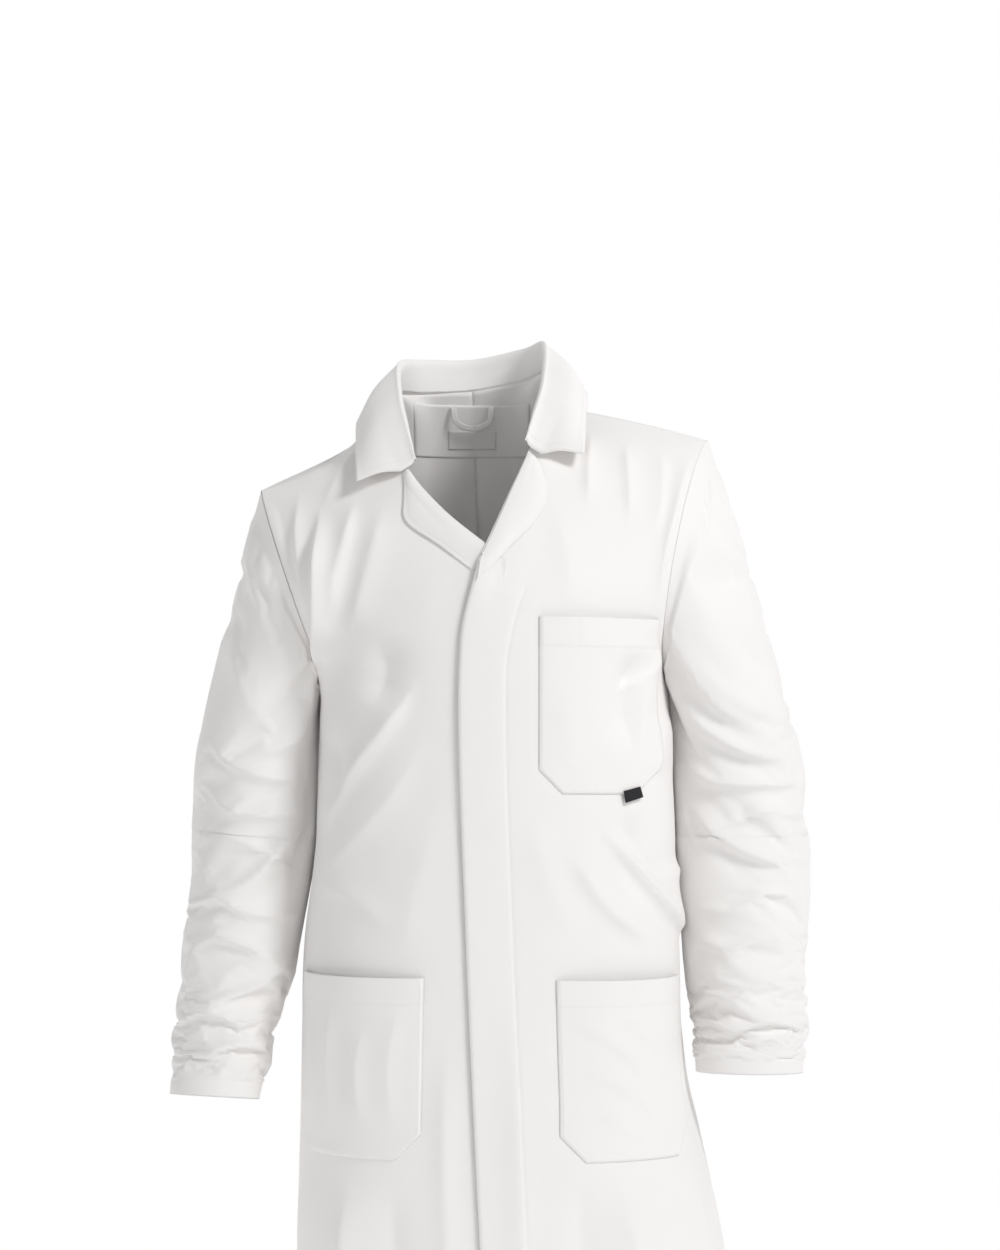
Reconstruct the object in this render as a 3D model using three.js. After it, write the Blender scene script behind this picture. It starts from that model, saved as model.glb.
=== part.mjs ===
// A long-sleeved lab coat as it hangs on a wearer: sewn panels, notched collar, patch pockets,
// a concealed fly with press studs, and sleeves that lift at the shoulder and bend at the elbow.
// Millimetres. +Z up, +X towards the wearer's left, -Y towards the front.
// All shapes are laid out about the middle of the body, and the whole coat is then moved so that
// the centre-back neck seam, where the hanger loop is sewn, is the origin.
import * as THREE from 'three';
import { mergeVertices } from 'three/addons/utils/BufferGeometryUtils.js';

// ---------------------------------------------------------------- driving dimensions
const CLOTH = 0.8; // one layer of cloth
const SEAM_GAP = 0.5; // every panel stops this far short of its seam line
const SHOULDER_GAP = 1.1; // and this far short of the shoulder seam, where two slopes meet
const RING_GAP = 0.4; // a sleeve's parts stop this far short of each other
const LAYER_GAP = 0.6; // between layers that lie on each other
const LIE_GAP = 1.5; // facings over a curved panel
const LAPEL_LIFT = 1.0; // lapels over the front
const HEM_Z = -1060; // bottom edge of the coat
const CHEST_Z = -290; // level of the underarm
const NAPE = [0, 75, 0]; // centre-back neck seam
const SIDE_Y = 12; // depth of the side seams
const SQUARENESS = 0.8; // 1 is an ellipse, less is a squarer cross-section
const FLY_WIDTH = 48; // from the front edge to the fly's stitch line
const OVERLAP = 50; // how far the right front runs under the left one
const SLEEVE_HEM = 19; // depth of the turned hem at the wrist
const ELBOW_STRETCH = 108; // length of cloth that bends at the elbow
const SLEEVE_HEAD_DROP = 22; // from the underarm to the first straight ring of the sleeve
const STUD = { count: 6, first: -238, aboveHem: 167, inset: 25, sides: 10 };
const STUD_SPACING = (STUD.first - HEM_Z - STUD.aboveHem) / (STUD.count - 1);
const CAP = { radius: 6, height: 1.0 };
const SOCKET = { radius: 5, bore: 2.4, height: 1.6 };
const BALL = { radius: 2.0, flange: 5, flangeHeight: 0.6, height: 1.7 };
const POST = { radius: 5.5, height: 0.9 };
const BREAST_POCKET = { x: 69, z: -241, width: 124, depth: 178, chamfer: 24, gape: 13, lift: 3.2 };
const LOWER_POCKET = { width: 168, depth: 184, chamfer: 27, gape: 14, lift: 2.9 };
const POCKET_START_X = { left: 86, right: -46 };
const LOWER_POCKET_Z = -602;
const POCKET_TAB = { width: 17, height: 8 };
const LOOP = { half: 21, drop: 20, width: 6, thickness: 1.4, standOff: 7, sewnIn: 1.3 };
const NECK_LABEL = { width: 52, height: 20 };
const NECK_FACING_DEPTH = 55;
const NECK_FACING_HALF = 46;
const FOLD_RADIUS = 4.8; // of the collar's top edge
const COLLAR_GAP = 1; // between its two layers
const COLLAR_BASE = 0.8; // its lower edge over the neck seam
const LEFT_FOLD = { top: [57, -195], bottom: [84, HEM_Z] };

// The sections that follow the body: [height, value] pairs.
const EDGE_X = [[HEM_Z, 20], [-875, 10], [-575, -4], [-325, -12], [-265, -10], [-185, 8]];
const FRONT_Y = [[HEM_Z, -162], [-700, -156], [-450, -147], [-325, -150], [-218, -149], [-185, -144]];
const BACK_X = [[HEM_Z, 46], [-450, 28], [-200, 10], [0, 0]];
const BACK_Y = [[HEM_Z, 142], [-700, 132], [-450, 112], [-200, 134], [-100, 120], [0, NAPE[1]]];
const BREAK = [8, -144, -185]; // where the lapels start to turn back
const FLARE = { top: -720, bottom: -920, reach: 34 }; // the back skirt stands out on the left

const SIDES = {
  right: {
    sign: -1,
    seamX: [[HEM_Z, -186], [-775, -180], [-595, -176], [-470, -163], [-387, -161], [-298, -157]],
    shoulder: [-221, 20, -108],
    underarm: [-157, SIDE_Y, -298],
    forward: [2, -92, -5],
    backward: [12, 84, 0],
    neck: [-76, 15, -8],
    saddle: [-119, 16, -56],
    roll: [[-30, -114, -130], [-66, -74, -84]],
    collarEnd: [-58, -74, -84],
    flare: 0,
    arm: [[-222, 22, -320], [-231, 30, -440], [-250, 6, -600], [-266, -34, -739]],
    armWidth: [[-320, 58], [-440, 64], [-600, 55], [-739, 46]],
    armDepth: [[-320, 66], [-440, 60], [-600, 54], [-739, 48]],
  },
  left: {
    sign: 1,
    seamX: [[HEM_Z, 284], [-895, 262], [-790, 241], [-720, 224], [-585, 217], [-455, 213], [-305, 206]],
    shoulder: [249, 10, -56],
    underarm: [206, SIDE_Y, -305],
    forward: [-21, -88, -8],
    backward: [-14, 86, 0],
    neck: [77, 15, 16],
    saddle: [119, 14, -24],
    roll: [[38, -112, -118], [63, -74, -60]],
    collarEnd: [57, -74, -62],
    flare: 1,
    arm: [[275, 20, -330], [290, 24, -440], [293, 14, -590], [291, -4, -717]],
    armWidth: [[-330, 60], [-440, 64], [-590, 60], [-717, 55]],
    armDepth: [[-330, 66], [-440, 60], [-590, 56], [-717, 52]],
  },
};
// The collar's fold line and the free edge of its leaf, from the right front end to the left.
const COLLAR_FOLD = [[-63, -86, -76], [-76, -22, -3], [-76, 12, 22], [-55, 63, 29], [0, 84, 31], [56, 63, 41],
  [77, 12, 43], [76, -22, 5], [62, -86, -52]];
const LEAF_EDGE = [[-117, -92, -104], [-120, -40, -64], [-119, -2, -34], [-88, 74, -24], [0, 114, -12],
  [88, 74, -2], [120, -2, -4], [120, -40, -36], [116, -92, -76]];
const LAPELS = {
  right: [[-67, -92], [-67, -122], [-66, -144], [-30, -171], [3, -196]],
  left: [[70, -84], [78, -118], [68, -142], [42, -170], [14, -206]],
};

const TWILL = { color: 0xf1eeea, roughness: 0.9, metalness: 0 };
const TAPE = { color: 0xe6e3de, roughness: 0.9, metalness: 0 };
const BLACK_WEAVE = { color: 0x1a1a1c, roughness: 0.85, metalness: 0 };
const ENAMEL = { color: 0xf3f2ef, roughness: 0.35, metalness: 0.1 };
const NICKEL = { color: 0xb9bbbd, roughness: 0.35, metalness: 0.9 };

// ---------------------------------------------------------------- small maths
const vec = (p) => new THREE.Vector3(...p);
const mix = THREE.MathUtils.lerp;
const blend = THREE.MathUtils.smoothstep;
const closerAtEnd = (t) => 1 - (1 - t) ** 1.5; // spaces rows more closely towards the end

// A smooth curve through [position, value] pairs, flat where it would overshoot.
function along(table, at) {
  const t = THREE.MathUtils.clamp(at, Math.min(table[0][0], table.at(-1)[0]),
    Math.max(table[0][0], table.at(-1)[0]));
  const rising = table[0][0] < table.at(-1)[0] ? table : [...table].reverse();
  const slope = (i) => (rising[i + 1][1] - rising[i][1]) / (rising[i + 1][0] - rising[i][0]);
  const tangent = (i) => {
    if (i === 0) return slope(0);
    if (i === rising.length - 1) return slope(i - 1);
    const [before, after] = [slope(i - 1), slope(i)];
    return before * after <= 0 ? 0 : 2 * before * after / (before + after);
  };
  let i = 0;
  while (i < rising.length - 2 && t > rising[i + 1][0]) i += 1;
  const [[z0, v0], [z1, v1]] = [rising[i], rising[i + 1]];
  const h = z1 - z0;
  const s = (t - z0) / h;
  const [a, b] = [tangent(i) * h, tangent(i + 1) * h];
  return v0 * (1 + 2 * s) * (1 - s) ** 2 + a * s * (1 - s) ** 2
    + v1 * s * s * (3 - 2 * s) + b * s * s * (s - 1);
}

const spline = (points) => new THREE.CatmullRomCurve3(points.map(vec), false, 'centripetal');

// ---------------------------------------------------------------- the body of the coat
const V_CHEST = 0.66; // share of a panel's height that lies below the underarm
const V_BREAK = 0.76; // and below the lapel's break

// The armhole, from the shoulder point at 0, over the front to the underarm at PI.
function armhole(side, angle) {
  const s = SIDES[side];
  const [top, low] = [vec(s.shoulder), vec(s.underarm)];
  const out = top.clone().add(low).multiplyScalar(0.5);
  out.addScaledVector(top.clone().sub(low), 0.5 * Math.cos(angle));
  const reach = vec(Math.sin(angle) > 0 ? s.forward : s.backward);
  return out.addScaledVector(reach, Math.abs(Math.sin(angle)));
}

// A panel's outer boundary: the side seam, then the armhole to the shoulder point.
function outerEdge(side, v, facing) {
  const s = SIDES[side];
  if (v > V_CHEST) return armhole(side, facing * Math.PI * (1 - v) / (1 - V_CHEST));
  const z = mix(HEM_Z, s.underarm[2], v / V_CHEST);
  return vec([along(s.seamX, z), SIDE_Y, z]);
}

// How deep the hidden right front lies under the left one: the stack of layers between them.
const STACK = {
  cap: CLOTH + LAYER_GAP,
  fly: CLOTH + 2 * LAYER_GAP + CAP.height,
};
STACK.socket = STACK.fly + CLOTH + LAYER_GAP;
STACK.flange = STACK.socket + SOCKET.height + LAYER_GAP;
STACK.under = STACK.flange + BALL.flangeHeight + LAYER_GAP;
STACK.facing = STACK.under + CLOTH + LAYER_GAP;
STACK.post = STACK.facing + CLOTH + LAYER_GAP;

// The front edge from hem to break, then the roll line and neckline up to the shoulder seam.
function frontEdge(side, v) {
  const hidden = side === 'right';
  const reach = hidden ? OVERLAP : 0;
  const sunk = hidden ? STACK.under : 0;
  const z = v < V_CHEST ? mix(HEM_Z, CHEST_Z, v / V_CHEST)
    : mix(CHEST_Z, BREAK[2], (v - V_CHEST) / (V_BREAK - V_CHEST));
  if (v <= V_BREAK) {
    const narrowing = hidden ? mix(1, 0.6, blend(v, V_CHEST, V_BREAK)) : 1;
    return vec([along(EDGE_X, z) + reach * narrowing, along(FRONT_Y, z) + sunk, z]);
  }
  const s = SIDES[side];
  const start = frontEdge(side, V_BREAK).toArray();
  const path = spline([start, ...s.roll, s.neck]);
  return path.getPoint((v - V_BREAK) / (1 - V_BREAK));
}

function backCentre(v) {
  const z = v < V_CHEST ? mix(HEM_Z, CHEST_Z, v / V_CHEST)
    : mix(CHEST_Z, NAPE[2], (v - V_CHEST) / (1 - V_CHEST));
  return vec([along(BACK_X, z), along(BACK_Y, z), z]);
}

// One row of a panel follows a squared ellipse that would be square to the side at the side
// seam's depth. A row that ends before that depth, at the armhole, takes only part of it.
function rowAngle(inner, outer) {
  const depth = THREE.MathUtils.clamp((outer.y - inner.y) / (SIDE_Y - inner.y), 0.02, 1);
  return Math.acos(Math.max(0, 1 - depth) ** (1 / SQUARENESS));
}

function row(inner, outer, u) {
  const end = rowAngle(inner, outer);
  const angle = end * THREE.MathUtils.clamp(u, 0, 1);
  const across = (Math.sin(angle) / Math.sin(end)) ** SQUARENESS;
  const round = (1 - Math.cos(angle) ** SQUARENESS) / (1 - Math.cos(end) ** SQUARENESS);
  return vec([mix(inner.x, outer.x, across), mix(inner.y, outer.y, round), mix(inner.z, outer.z, across)]);
}

// The share of a front row that reaches a width x.
function shareAtX(side, v, x) {
  const [inner, outer] = [frontEdge(side, v), outerEdge(side, v, 1)];
  const end = rowAngle(inner, outer);
  const across = THREE.MathUtils.clamp((x - inner.x) / (outer.x - inner.x), 0, 1);
  return Math.asin(across ** (1 / SQUARENESS) * Math.sin(end)) / end;
}

// The share of a panel's height at a level below the lapel's break.
function heightShare(z) {
  return z <= CHEST_Z ? V_CHEST * (z - HEM_Z) / (CHEST_Z - HEM_Z)
    : V_CHEST + (V_BREAK - V_CHEST) * (z - CHEST_Z) / (BREAK[2] - CHEST_Z);
}

const TOP_BLEND = 0.8; // above this share of its height a panel turns towards its shoulder seam
const U_NECK = 0.36; // share of the back's top row that is neckline

function shoulderSeam(side, t) {
  const s = SIDES[side];
  return spline([s.neck, s.saddle, s.shoulder]).getPointAt(t);
}

function backTop(side, u) {
  if (u > U_NECK) return shoulderSeam(side, (u - U_NECK) / (1 - U_NECK));
  const s = SIDES[side];
  const corner = [s.neck[0] * 0.69, NAPE[1] - 17, mix(NAPE[2], s.neck[2], 0.55)];
  return spline([NAPE, corner, s.neck]).getPoint(u / U_NECK);
}

function panelPoint(side, facing, u, v) {
  const inner = facing > 0 ? frontEdge(side, v) : backCentre(v);
  const out = row(inner, outerEdge(side, v, facing), u);
  if (v > TOP_BLEND) {
    const topInner = facing > 0 ? frontEdge(side, 1) : backCentre(1);
    const plain = row(topInner, vec(SIDES[side].shoulder), u);
    const target = facing > 0 ? shoulderSeam(side, u) : backTop(side, u);
    out.addScaledVector(target.sub(plain), blend(v, TOP_BLEND, 1));
  }
  if (facing < 0) {
    const open = SIDES[side].flare * blend(-out.z, -FLARE.top, -FLARE.bottom);
    out.x += FLARE.reach * open * Math.sin(Math.PI * u) ** 2 * u;
  }
  return out;
}

const front = (side) => (u, v) => panelPoint(side, 1, u, v);
const back = (side) => (u, v) => panelPoint(side, -1, u, v);

// The outward normal of a surface, by small steps.
function normalOf(surface, u, v, turn) {
  const step = 1e-3;
  const [ua, ub] = [Math.max(0, u - step), Math.min(1, u + step)];
  const [va, vb] = [Math.max(0, v - step), Math.min(1, v + step)];
  const du = surface(ub, v).sub(surface(ua, v));
  const dv = surface(u, vb).sub(surface(u, va));
  return du.cross(dv).normalize().multiplyScalar(turn);
}

// Moves off a surface along its normal.
function offset(surface, turn, distance) {
  return (u, v) => surface(u, v).addScaledVector(normalOf(surface, u, v, turn), distance);
}

// The (u, v) of a panel that lies at a width and a height.
function locate(surface, x, z) {
  const step = 1e-3;
  let [u, v] = [0.4, 0.7];
  for (let i = 0; i < 25; i += 1) {
    const here = surface(u, v);
    const du = surface(Math.min(1, u + step), v).sub(here).divideScalar(Math.min(step, 1 - u) || step);
    const dv = surface(u, Math.min(1, v + step)).sub(here).divideScalar(Math.min(step, 1 - v) || step);
    const det = du.x * dv.z - dv.x * du.z;
    const [ex, ez] = [x - here.x, z - here.z];
    u = THREE.MathUtils.clamp(u + 0.7 * (ex * dv.z - ez * dv.x) / det, 0.002, 0.995);
    v = THREE.MathUtils.clamp(v + 0.7 * (ez * du.x - ex * du.z) / det, 0.002, 0.995);
  }
  return [u, v];
}

// The point of a front panel at a width and height, lifted off it.
function onFront(side, x, z, lift) {
  const [u, v] = locate(front(side), x, z);
  return offset(front(side), turnOf(side, 1), lift)(u, v);
}

// The same for the back panels, on the side that the width falls on.
function onBack(x, z, lift) {
  const side = x < 0 ? 'right' : 'left';
  const [u, v] = locate(back(side), x, z);
  return offset(back(side), turnOf(side, -1), lift)(u, v);
}

const turnOf = (side, facing) => SIDES[side].sign * facing;

// ---------------------------------------------------------------- closed thin solids
// Builds a closed sheet from a grid of [outside, inside] points; use(i, j) says which cells exist.
function sheetGeometry(columns, rows, at, closed = false, use = () => true) {
  const wide = closed ? columns : columns + 1;
  const positions = [];
  for (let j = 0; j <= rows; j += 1) {
    for (let i = 0; i < wide; i += 1) {
      const [outside, inside] = at(i / columns, j / rows, i, j);
      positions.push(...outside.toArray(), ...inside.toArray());
    }
  }
  const id = (i, j, layer) => 2 * (j * wide + (i % wide)) + layer;
  const faces = [];
  const quad = (a, b, c, d) => faces.push(a, b, c, a, c, d);
  const has = (i, j) => j >= 0 && j < rows && (closed || (i >= 0 && i < columns)) && use(i, j);
  for (let j = 0; j < rows; j += 1) {
    for (let i = 0; i < columns; i += 1) {
      if (!has(i, j)) continue;
      quad(id(i, j, 0), id(i + 1, j, 0), id(i + 1, j + 1, 0), id(i, j + 1, 0));
      quad(id(i, j, 1), id(i, j + 1, 1), id(i + 1, j + 1, 1), id(i + 1, j, 1));
      if (!has(i, j - 1)) quad(id(i, j, 1), id(i + 1, j, 1), id(i + 1, j, 0), id(i, j, 0));
      if (!has(i, j + 1)) quad(id(i, j + 1, 0), id(i + 1, j + 1, 0), id(i + 1, j + 1, 1), id(i, j + 1, 1));
      if (closed) continue;
      if (!has(i - 1, j)) quad(id(i, j, 0), id(i, j + 1, 0), id(i, j + 1, 1), id(i, j, 1));
      if (!has(i + 1, j)) quad(id(i + 1, j, 1), id(i + 1, j + 1, 1), id(i + 1, j + 1, 0), id(i + 1, j, 0));
    }
  }
  return facingOut(positions, faces);
}

// A geometry from points and faces, turned inside out if its volume comes out negative.
function facingOut(positions, faces) {
  const p = (i) => new THREE.Vector3(positions[3 * i], positions[3 * i + 1], positions[3 * i + 2]);
  let volume = 0;
  for (let f = 0; f < faces.length; f += 3) {
    volume += p(faces[f]).dot(p(faces[f + 1]).cross(p(faces[f + 2])));
  }
  const order = volume < 0 ? faces.map((_, k) => faces[k - (k % 3) + [0, 2, 1][k % 3]]) : faces;
  const geometry = new THREE.BufferGeometry();
  geometry.setAttribute('position', new THREE.Float32BufferAttribute(positions, 3));
  geometry.setIndex(order);
  const used = geometry.toNonIndexed();
  const merged = mergeVertices(used, 1e-4);
  merged.computeVertexNormals();
  return merged;
}

const coat = new THREE.Group();
coat.position.set(-NAPE[0], -NAPE[1], -NAPE[2]);

function add(name, geometry, finish) {
  const mesh = new THREE.Mesh(geometry, new THREE.MeshStandardMaterial(finish));
  mesh.name = name;
  coat.add(mesh);
}

// The share of a row that a length in millimetres takes at one of its ends.
function share(surface, u, v, length, way) {
  const step = 0.01;
  const inwards = (at) => at + step * (at < 0.5 ? 1 : -1);
  const far = way === 'u' ? surface(inwards(u), v) : surface(u, inwards(v));
  return step * length / far.distanceTo(surface(u, v));
}

// One point of a panel with its inner side, one layer of cloth behind it.
function clothPoint(surface, turn, u, v) {
  const outside = surface(u, v);
  return [outside, outside.clone().addScaledVector(normalOf(surface, u, v, turn), -CLOTH)];
}

// A whole panel short of its seams, with closer rows above the underarm.
function panel(surface, turn, columns) {
  const at = (s, t) => {
    const v = t < LOW_ROWS ? V_CHEST * t / LOW_ROWS
      : mix(V_CHEST, 1 - share(surface, 0.3, 1, SHOULDER_GAP, 'v'), (t - LOW_ROWS) / (1 - LOW_ROWS));
    const start = share(surface, 0, v, SEAM_GAP, 'u');
    const end = 1 - share(surface, 1, v, SEAM_GAP, 'u');
    return clothPoint(surface, turn, mix(start, end, s), v);
  };
  return sheetGeometry(columns, PANEL_ROWS, at);
}

const PANEL_ROWS = 20;
const LOW_ROWS = 0.45; // share of the rows that lie below the underarm

// ---------------------------------------------------------------- fronts and backs
// The share of a left front row at which the fold line of the opening edge is crossed.
function foldShare(height) {
  const v = Math.min(height, V_FOLD_TOP);
  const { z } = frontEdge('left', v);
  const t = (z - LEFT_FOLD.top[1]) / (LEFT_FOLD.bottom[1] - LEFT_FOLD.top[1]);
  const x = mix(LEFT_FOLD.top[0], LEFT_FOLD.bottom[0], t);
  return shareAtX('left', v, x);
}

const V_FOLD_TOP = heightShare(LEFT_FOLD.top[1]);
const FLAP = { columns: 3, rows: 12, sideColumns: 9, topRows: 9 };

// The left front without its opening edge: full width above the fold's top, the side part below.
function addFrontLeft() {
  const surface = front('left');
  const total = FLAP.rows + FLAP.topRows;
  const gap = (v) => share(surface, 0.3, v, SEAM_GAP, 'u');
  const top = 1 - share(surface, 0.3, 1, SHOULDER_GAP, 'v');
  const at = (s, t, i, j) => {
    const split = V_FOLD_TOP + share(surface, 0.1, V_FOLD_TOP, SEAM_GAP, 'v');
    const v = j <= FLAP.rows ? split * closerAtEnd(j / FLAP.rows)
      : mix(split, top, (j - FLAP.rows) / FLAP.topRows);
    const fold = foldShare(v) + gap(v);
    const end = 1 - share(surface, 1, v, SEAM_GAP, 'u');
    const u = i <= FLAP.columns ? mix(0.001, fold, i / FLAP.columns)
      : mix(fold, end, (i - FLAP.columns) / FLAP.sideColumns);
    return clothPoint(surface, 1, u, v);
  };
  const use = (i, j) => i >= FLAP.columns || j >= FLAP.rows;
  add('front_left', sheetGeometry(FLAP.columns + FLAP.sideColumns, total, at, false, use), TWILL);
}

// The strip of the left front that folds back when the coat is opened.
function addFrontLeftEdge() {
  const surface = front('left');
  const at = (s, t) => {
    const v = (V_FOLD_TOP - share(surface, 0.1, V_FOLD_TOP, SEAM_GAP, 'v')) * closerAtEnd(t);
    const u = mix(0.001, foldShare(v) - share(surface, 0.3, v, SEAM_GAP, 'u'), s);
    return clothPoint(surface, 1, u, v);
  };
  add('front_left_opening_edge', sheetGeometry(FLAP.columns, FLAP.rows, at), TWILL);
}

// A strip behind a front, between two widths counted from the front edge line.
function strip(side, x0, x1, zTop, lift, rows) {
  const at = (s, t) => {
    const z = mix(HEM_Z + 2, zTop, closerAtEnd(t));
    const x = along(EDGE_X, z) + mix(x0, x1, s);
    const v = heightShare(z);
    const base = front(side)(shareAtX(side, v, x), v);
    const depth = vec([0, 1, 0]);
    return [base.clone().addScaledVector(depth, lift), base.clone().addScaledVector(depth, lift + CLOTH)];
  };
  return sheetGeometry(3, rows, at);
}

function addFronts() {
  addFrontLeft();
  addFrontLeftEdge();
  add('front_right', panel(front('right'), -1, 12), TWILL);
  add('left_fly', strip('left', 3, FLY_WIDTH, LEFT_FOLD.top[1] - 3, STACK.fly, 12), TWILL);
  const underFacing = STACK.facing - STACK.under + LAYER_GAP;
  add('right_facing', strip('right', -12, OVERLAP - 4, -222, underFacing, 12), TWILL);
}

function addBacks() {
  for (const side of ['left', 'right']) {
    add(`back_${side}`, panel(back(side), turnOf(side, -1), 12), TWILL);
  }
}

// ---------------------------------------------------------------- press studs
function lathe(profile) {
  return facingOutGeometry(new THREE.LatheGeometry(profile.map((p) => new THREE.Vector2(...p)), STUD.sides));
}

function facingOutGeometry(source) {
  for (const name of ['normal', 'uv']) source.deleteAttribute(name);
  const merged = mergeVertices(source, 1e-4);
  return facingOut([...merged.attributes.position.array], [...merged.index.array]);
}

function addDisc(name, profile, place, depth, finish) {
  const geometry = lathe(profile);
  const mesh = new THREE.Mesh(geometry, new THREE.MeshStandardMaterial(finish));
  mesh.name = name;
  mesh.position.copy(place).add(vec([0, depth, 0]));
  coat.add(mesh);
}

// Each stud is four pieces: a cap and socket closed through the fly, and a stud and post closed
// through the right front and its facing. They stack along the depth of the coat.
function addStuds() {
  for (let k = 0; k < STUD.count; k += 1) {
    const z = STUD.first - k * STUD_SPACING;
    const x = along(EDGE_X, z) + STUD.inset;
    const v = heightShare(z);
    const surfaceY = (side) => front(side)(shareAtX(side, v, x), v).y;
    const upper = vec([x, surfaceY('left'), z]);
    const under = vec([x, surfaceY('right') - STACK.under, z]);
    const n = k + 1;
    const [c, h] = [CAP.radius, CAP.height];
    addDisc(`stud_cap_${n}`, [[0, 0], [c * 0.7, 0], [c, h * 0.5], [c, h], [0, h]], upper, STACK.cap, ENAMEL);
    const [b, r, w] = [SOCKET.bore, SOCKET.radius, SOCKET.height];
    addDisc(`stud_socket_${n}`, [[b, 0], [r, 0], [r, w * 0.6], [r * 0.8, w], [b, w], [b, 0]],
      upper, STACK.socket, NICKEL);
    const [f, g, q] = [BALL.flange, BALL.flangeHeight, BALL.radius];
    addDisc(`stud_ball_${n}`, [[0, g - BALL.height], [q * 0.8, g - BALL.height], [q, -0.5], [q * 0.8, 0],
      [f, 0], [f, g], [0, g]], under, STACK.flange, NICKEL);
    const [d, e] = [POST.radius, POST.height];
    addDisc(`stud_post_${n}`, [[0, 0], [d, 0], [d, 0.5], [d * 0.7, e], [0, e]], under,
      STACK.post + 1.5 * LAYER_GAP, NICKEL);
  }
}

// ---------------------------------------------------------------- pockets
// A patch pocket: cloth that stands off its panel most at the mouth and not at its other edges.
function pocketGeometry(at, pocket, columns, rows) {
  const cell = (s, t) => {
    const down = 1 - t;
    const cut = Math.max(0, down * pocket.depth - pocket.depth + pocket.chamfer) / pocket.width;
    const a = mix(cut, 1 - cut, s);
    const gape = pocket.gape * Math.sin(Math.PI * s) ** 0.7 * t ** 0.8 * Math.min(1, 6 * t);
    return at(a, down, pocket.lift + gape);
  };
  const outward = (s, t) => {
    const [du, dv] = [cell(Math.min(1, s + 0.01), t).sub(cell(Math.max(0, s - 0.01), t)),
      cell(s, Math.min(1, t + 0.01)).sub(cell(s, Math.max(0, t - 0.01)))];
    const normal = du.cross(dv).normalize();
    if (normal.y > 0) normal.negate();
    return normal;
  };
  return sheetGeometry(columns, rows, (s, t) => {
    const base = cell(s, t);
    return [base.clone().addScaledVector(outward(s, t), CLOTH), base];
  });
}

function breastPocketPoint(a, down, lift) {
  const p = BREAST_POCKET;
  return onFront('left', p.x + a * p.width, p.z - down * p.depth - 3 * a, lift);
}

// Lower pockets start at a width on the front and run round towards the side seam by their length.
function lowerPocketPoint(side) {
  const surface = front(side);
  return (a, down, lift) => {
    const z = LOWER_POCKET_Z - down * LOWER_POCKET.depth;
    const v = heightShare(z);
    let u = shareAtX(side, v, POCKET_START_X[side] + SIDES[side].sign * 4 * down);
    const steps = 16;
    const length = a * LOWER_POCKET.width / steps;
    for (let k = 0; k < steps; k += 1) {
      const here = surface(u, v);
      const ahead = surface(Math.min(1, u + 0.004), v);
      u = Math.min(0.985, u + 0.004 * length / ahead.distanceTo(here));
    }
    return offset(surface, turnOf(side, 1), lift)(u, v);
  };
}

function addPockets() {
  add('breast_pocket', pocketGeometry(breastPocketPoint, BREAST_POCKET, 6, 7), TWILL);
  for (const side of ['left', 'right']) {
    const geometry = pocketGeometry(lowerPocketPoint(side), LOWER_POCKET, 7, 7);
    add(`lower_pocket_${side}`, geometry, TWILL);
  }
  const tab = (s, t) => {
    const down = 1 - (POCKET_TAB.height * (t - 0.7)) / BREAST_POCKET.depth;
    const a = 0.66 + s * POCKET_TAB.width / BREAST_POCKET.width;
    const lift = BREAST_POCKET.lift + CLOTH + 1.2;
    return [breastPocketPoint(a, down, lift + 0.5), breastPocketPoint(a, down, lift)];
  };
  add('pocket_tab', sheetGeometry(1, 1, tab), BLACK_WEAVE);
}

// ---------------------------------------------------------------- collar and lapels
// The collar's section at w: up the stand, over the fold and down the leaf.
const NECKLINE = spline([SIDES.right.collarEnd, SIDES.right.neck, [-52, 58, -4], NAPE, [53, 58, 9],
  SIDES.left.neck, SIDES.left.collarEnd]);
const FOLD_LINE = spline(COLLAR_FOLD);
const LEAF_LINE = spline(LEAF_EDGE);

function collarSection(w) {
  const base = NECKLINE.getPoint(w).add(vec([0, 0, COLLAR_BASE]));
  const fold = FOLD_LINE.getPoint(w);
  const leaf = LEAF_LINE.getPoint(w);
  const outward = leaf.clone().sub(fold).setZ(0).normalize();
  const innerTop = fold.clone().addScaledVector(outward, -FOLD_RADIUS);
  const outerTop = fold.clone().addScaledVector(outward, FOLD_RADIUS);
  const top = fold.clone().add(vec([0, 0, FOLD_RADIUS]));
  const middle = outerTop.clone().lerp(leaf, 0.5).addScaledVector(outward, 3).add(vec([0, 0, 4]));
  return new THREE.CatmullRomCurve3([base, base.clone().lerp(innerTop, 0.55), innerTop, top, outerTop,
    middle, leaf], false, 'centripetal');
}

const COLLAR_STATIONS = [0, 1, 2, 2.5, 3, 3.5, 4, 5, 6].map((k) => k / 6);

function collarPoint(w, c) {
  return collarSection(w).getPoint(c);
}

function addCollar() {
  const layer = (lift, trim) => {
    const at = (s, t, i, j) => {
      const w = THREE.MathUtils.clamp(s, trim, 1 - trim);
      const c = THREE.MathUtils.clamp(COLLAR_STATIONS[j], 0.01, 1 - trim);
      const turn = normalOf((a, b) => collarPoint(a, b), w, c, 1);
      const base = collarPoint(w, c);
      return [base.clone().addScaledVector(turn, -lift), base.clone().addScaledVector(turn, -lift - CLOTH)];
    };
    return sheetGeometry(18, COLLAR_STATIONS.length - 1, at);
  };
  add('top_collar', layer(0, 0.002), TWILL);
  add('under_collar', layer(CLOTH + COLLAR_GAP, 0.01), TWILL);
}

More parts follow.
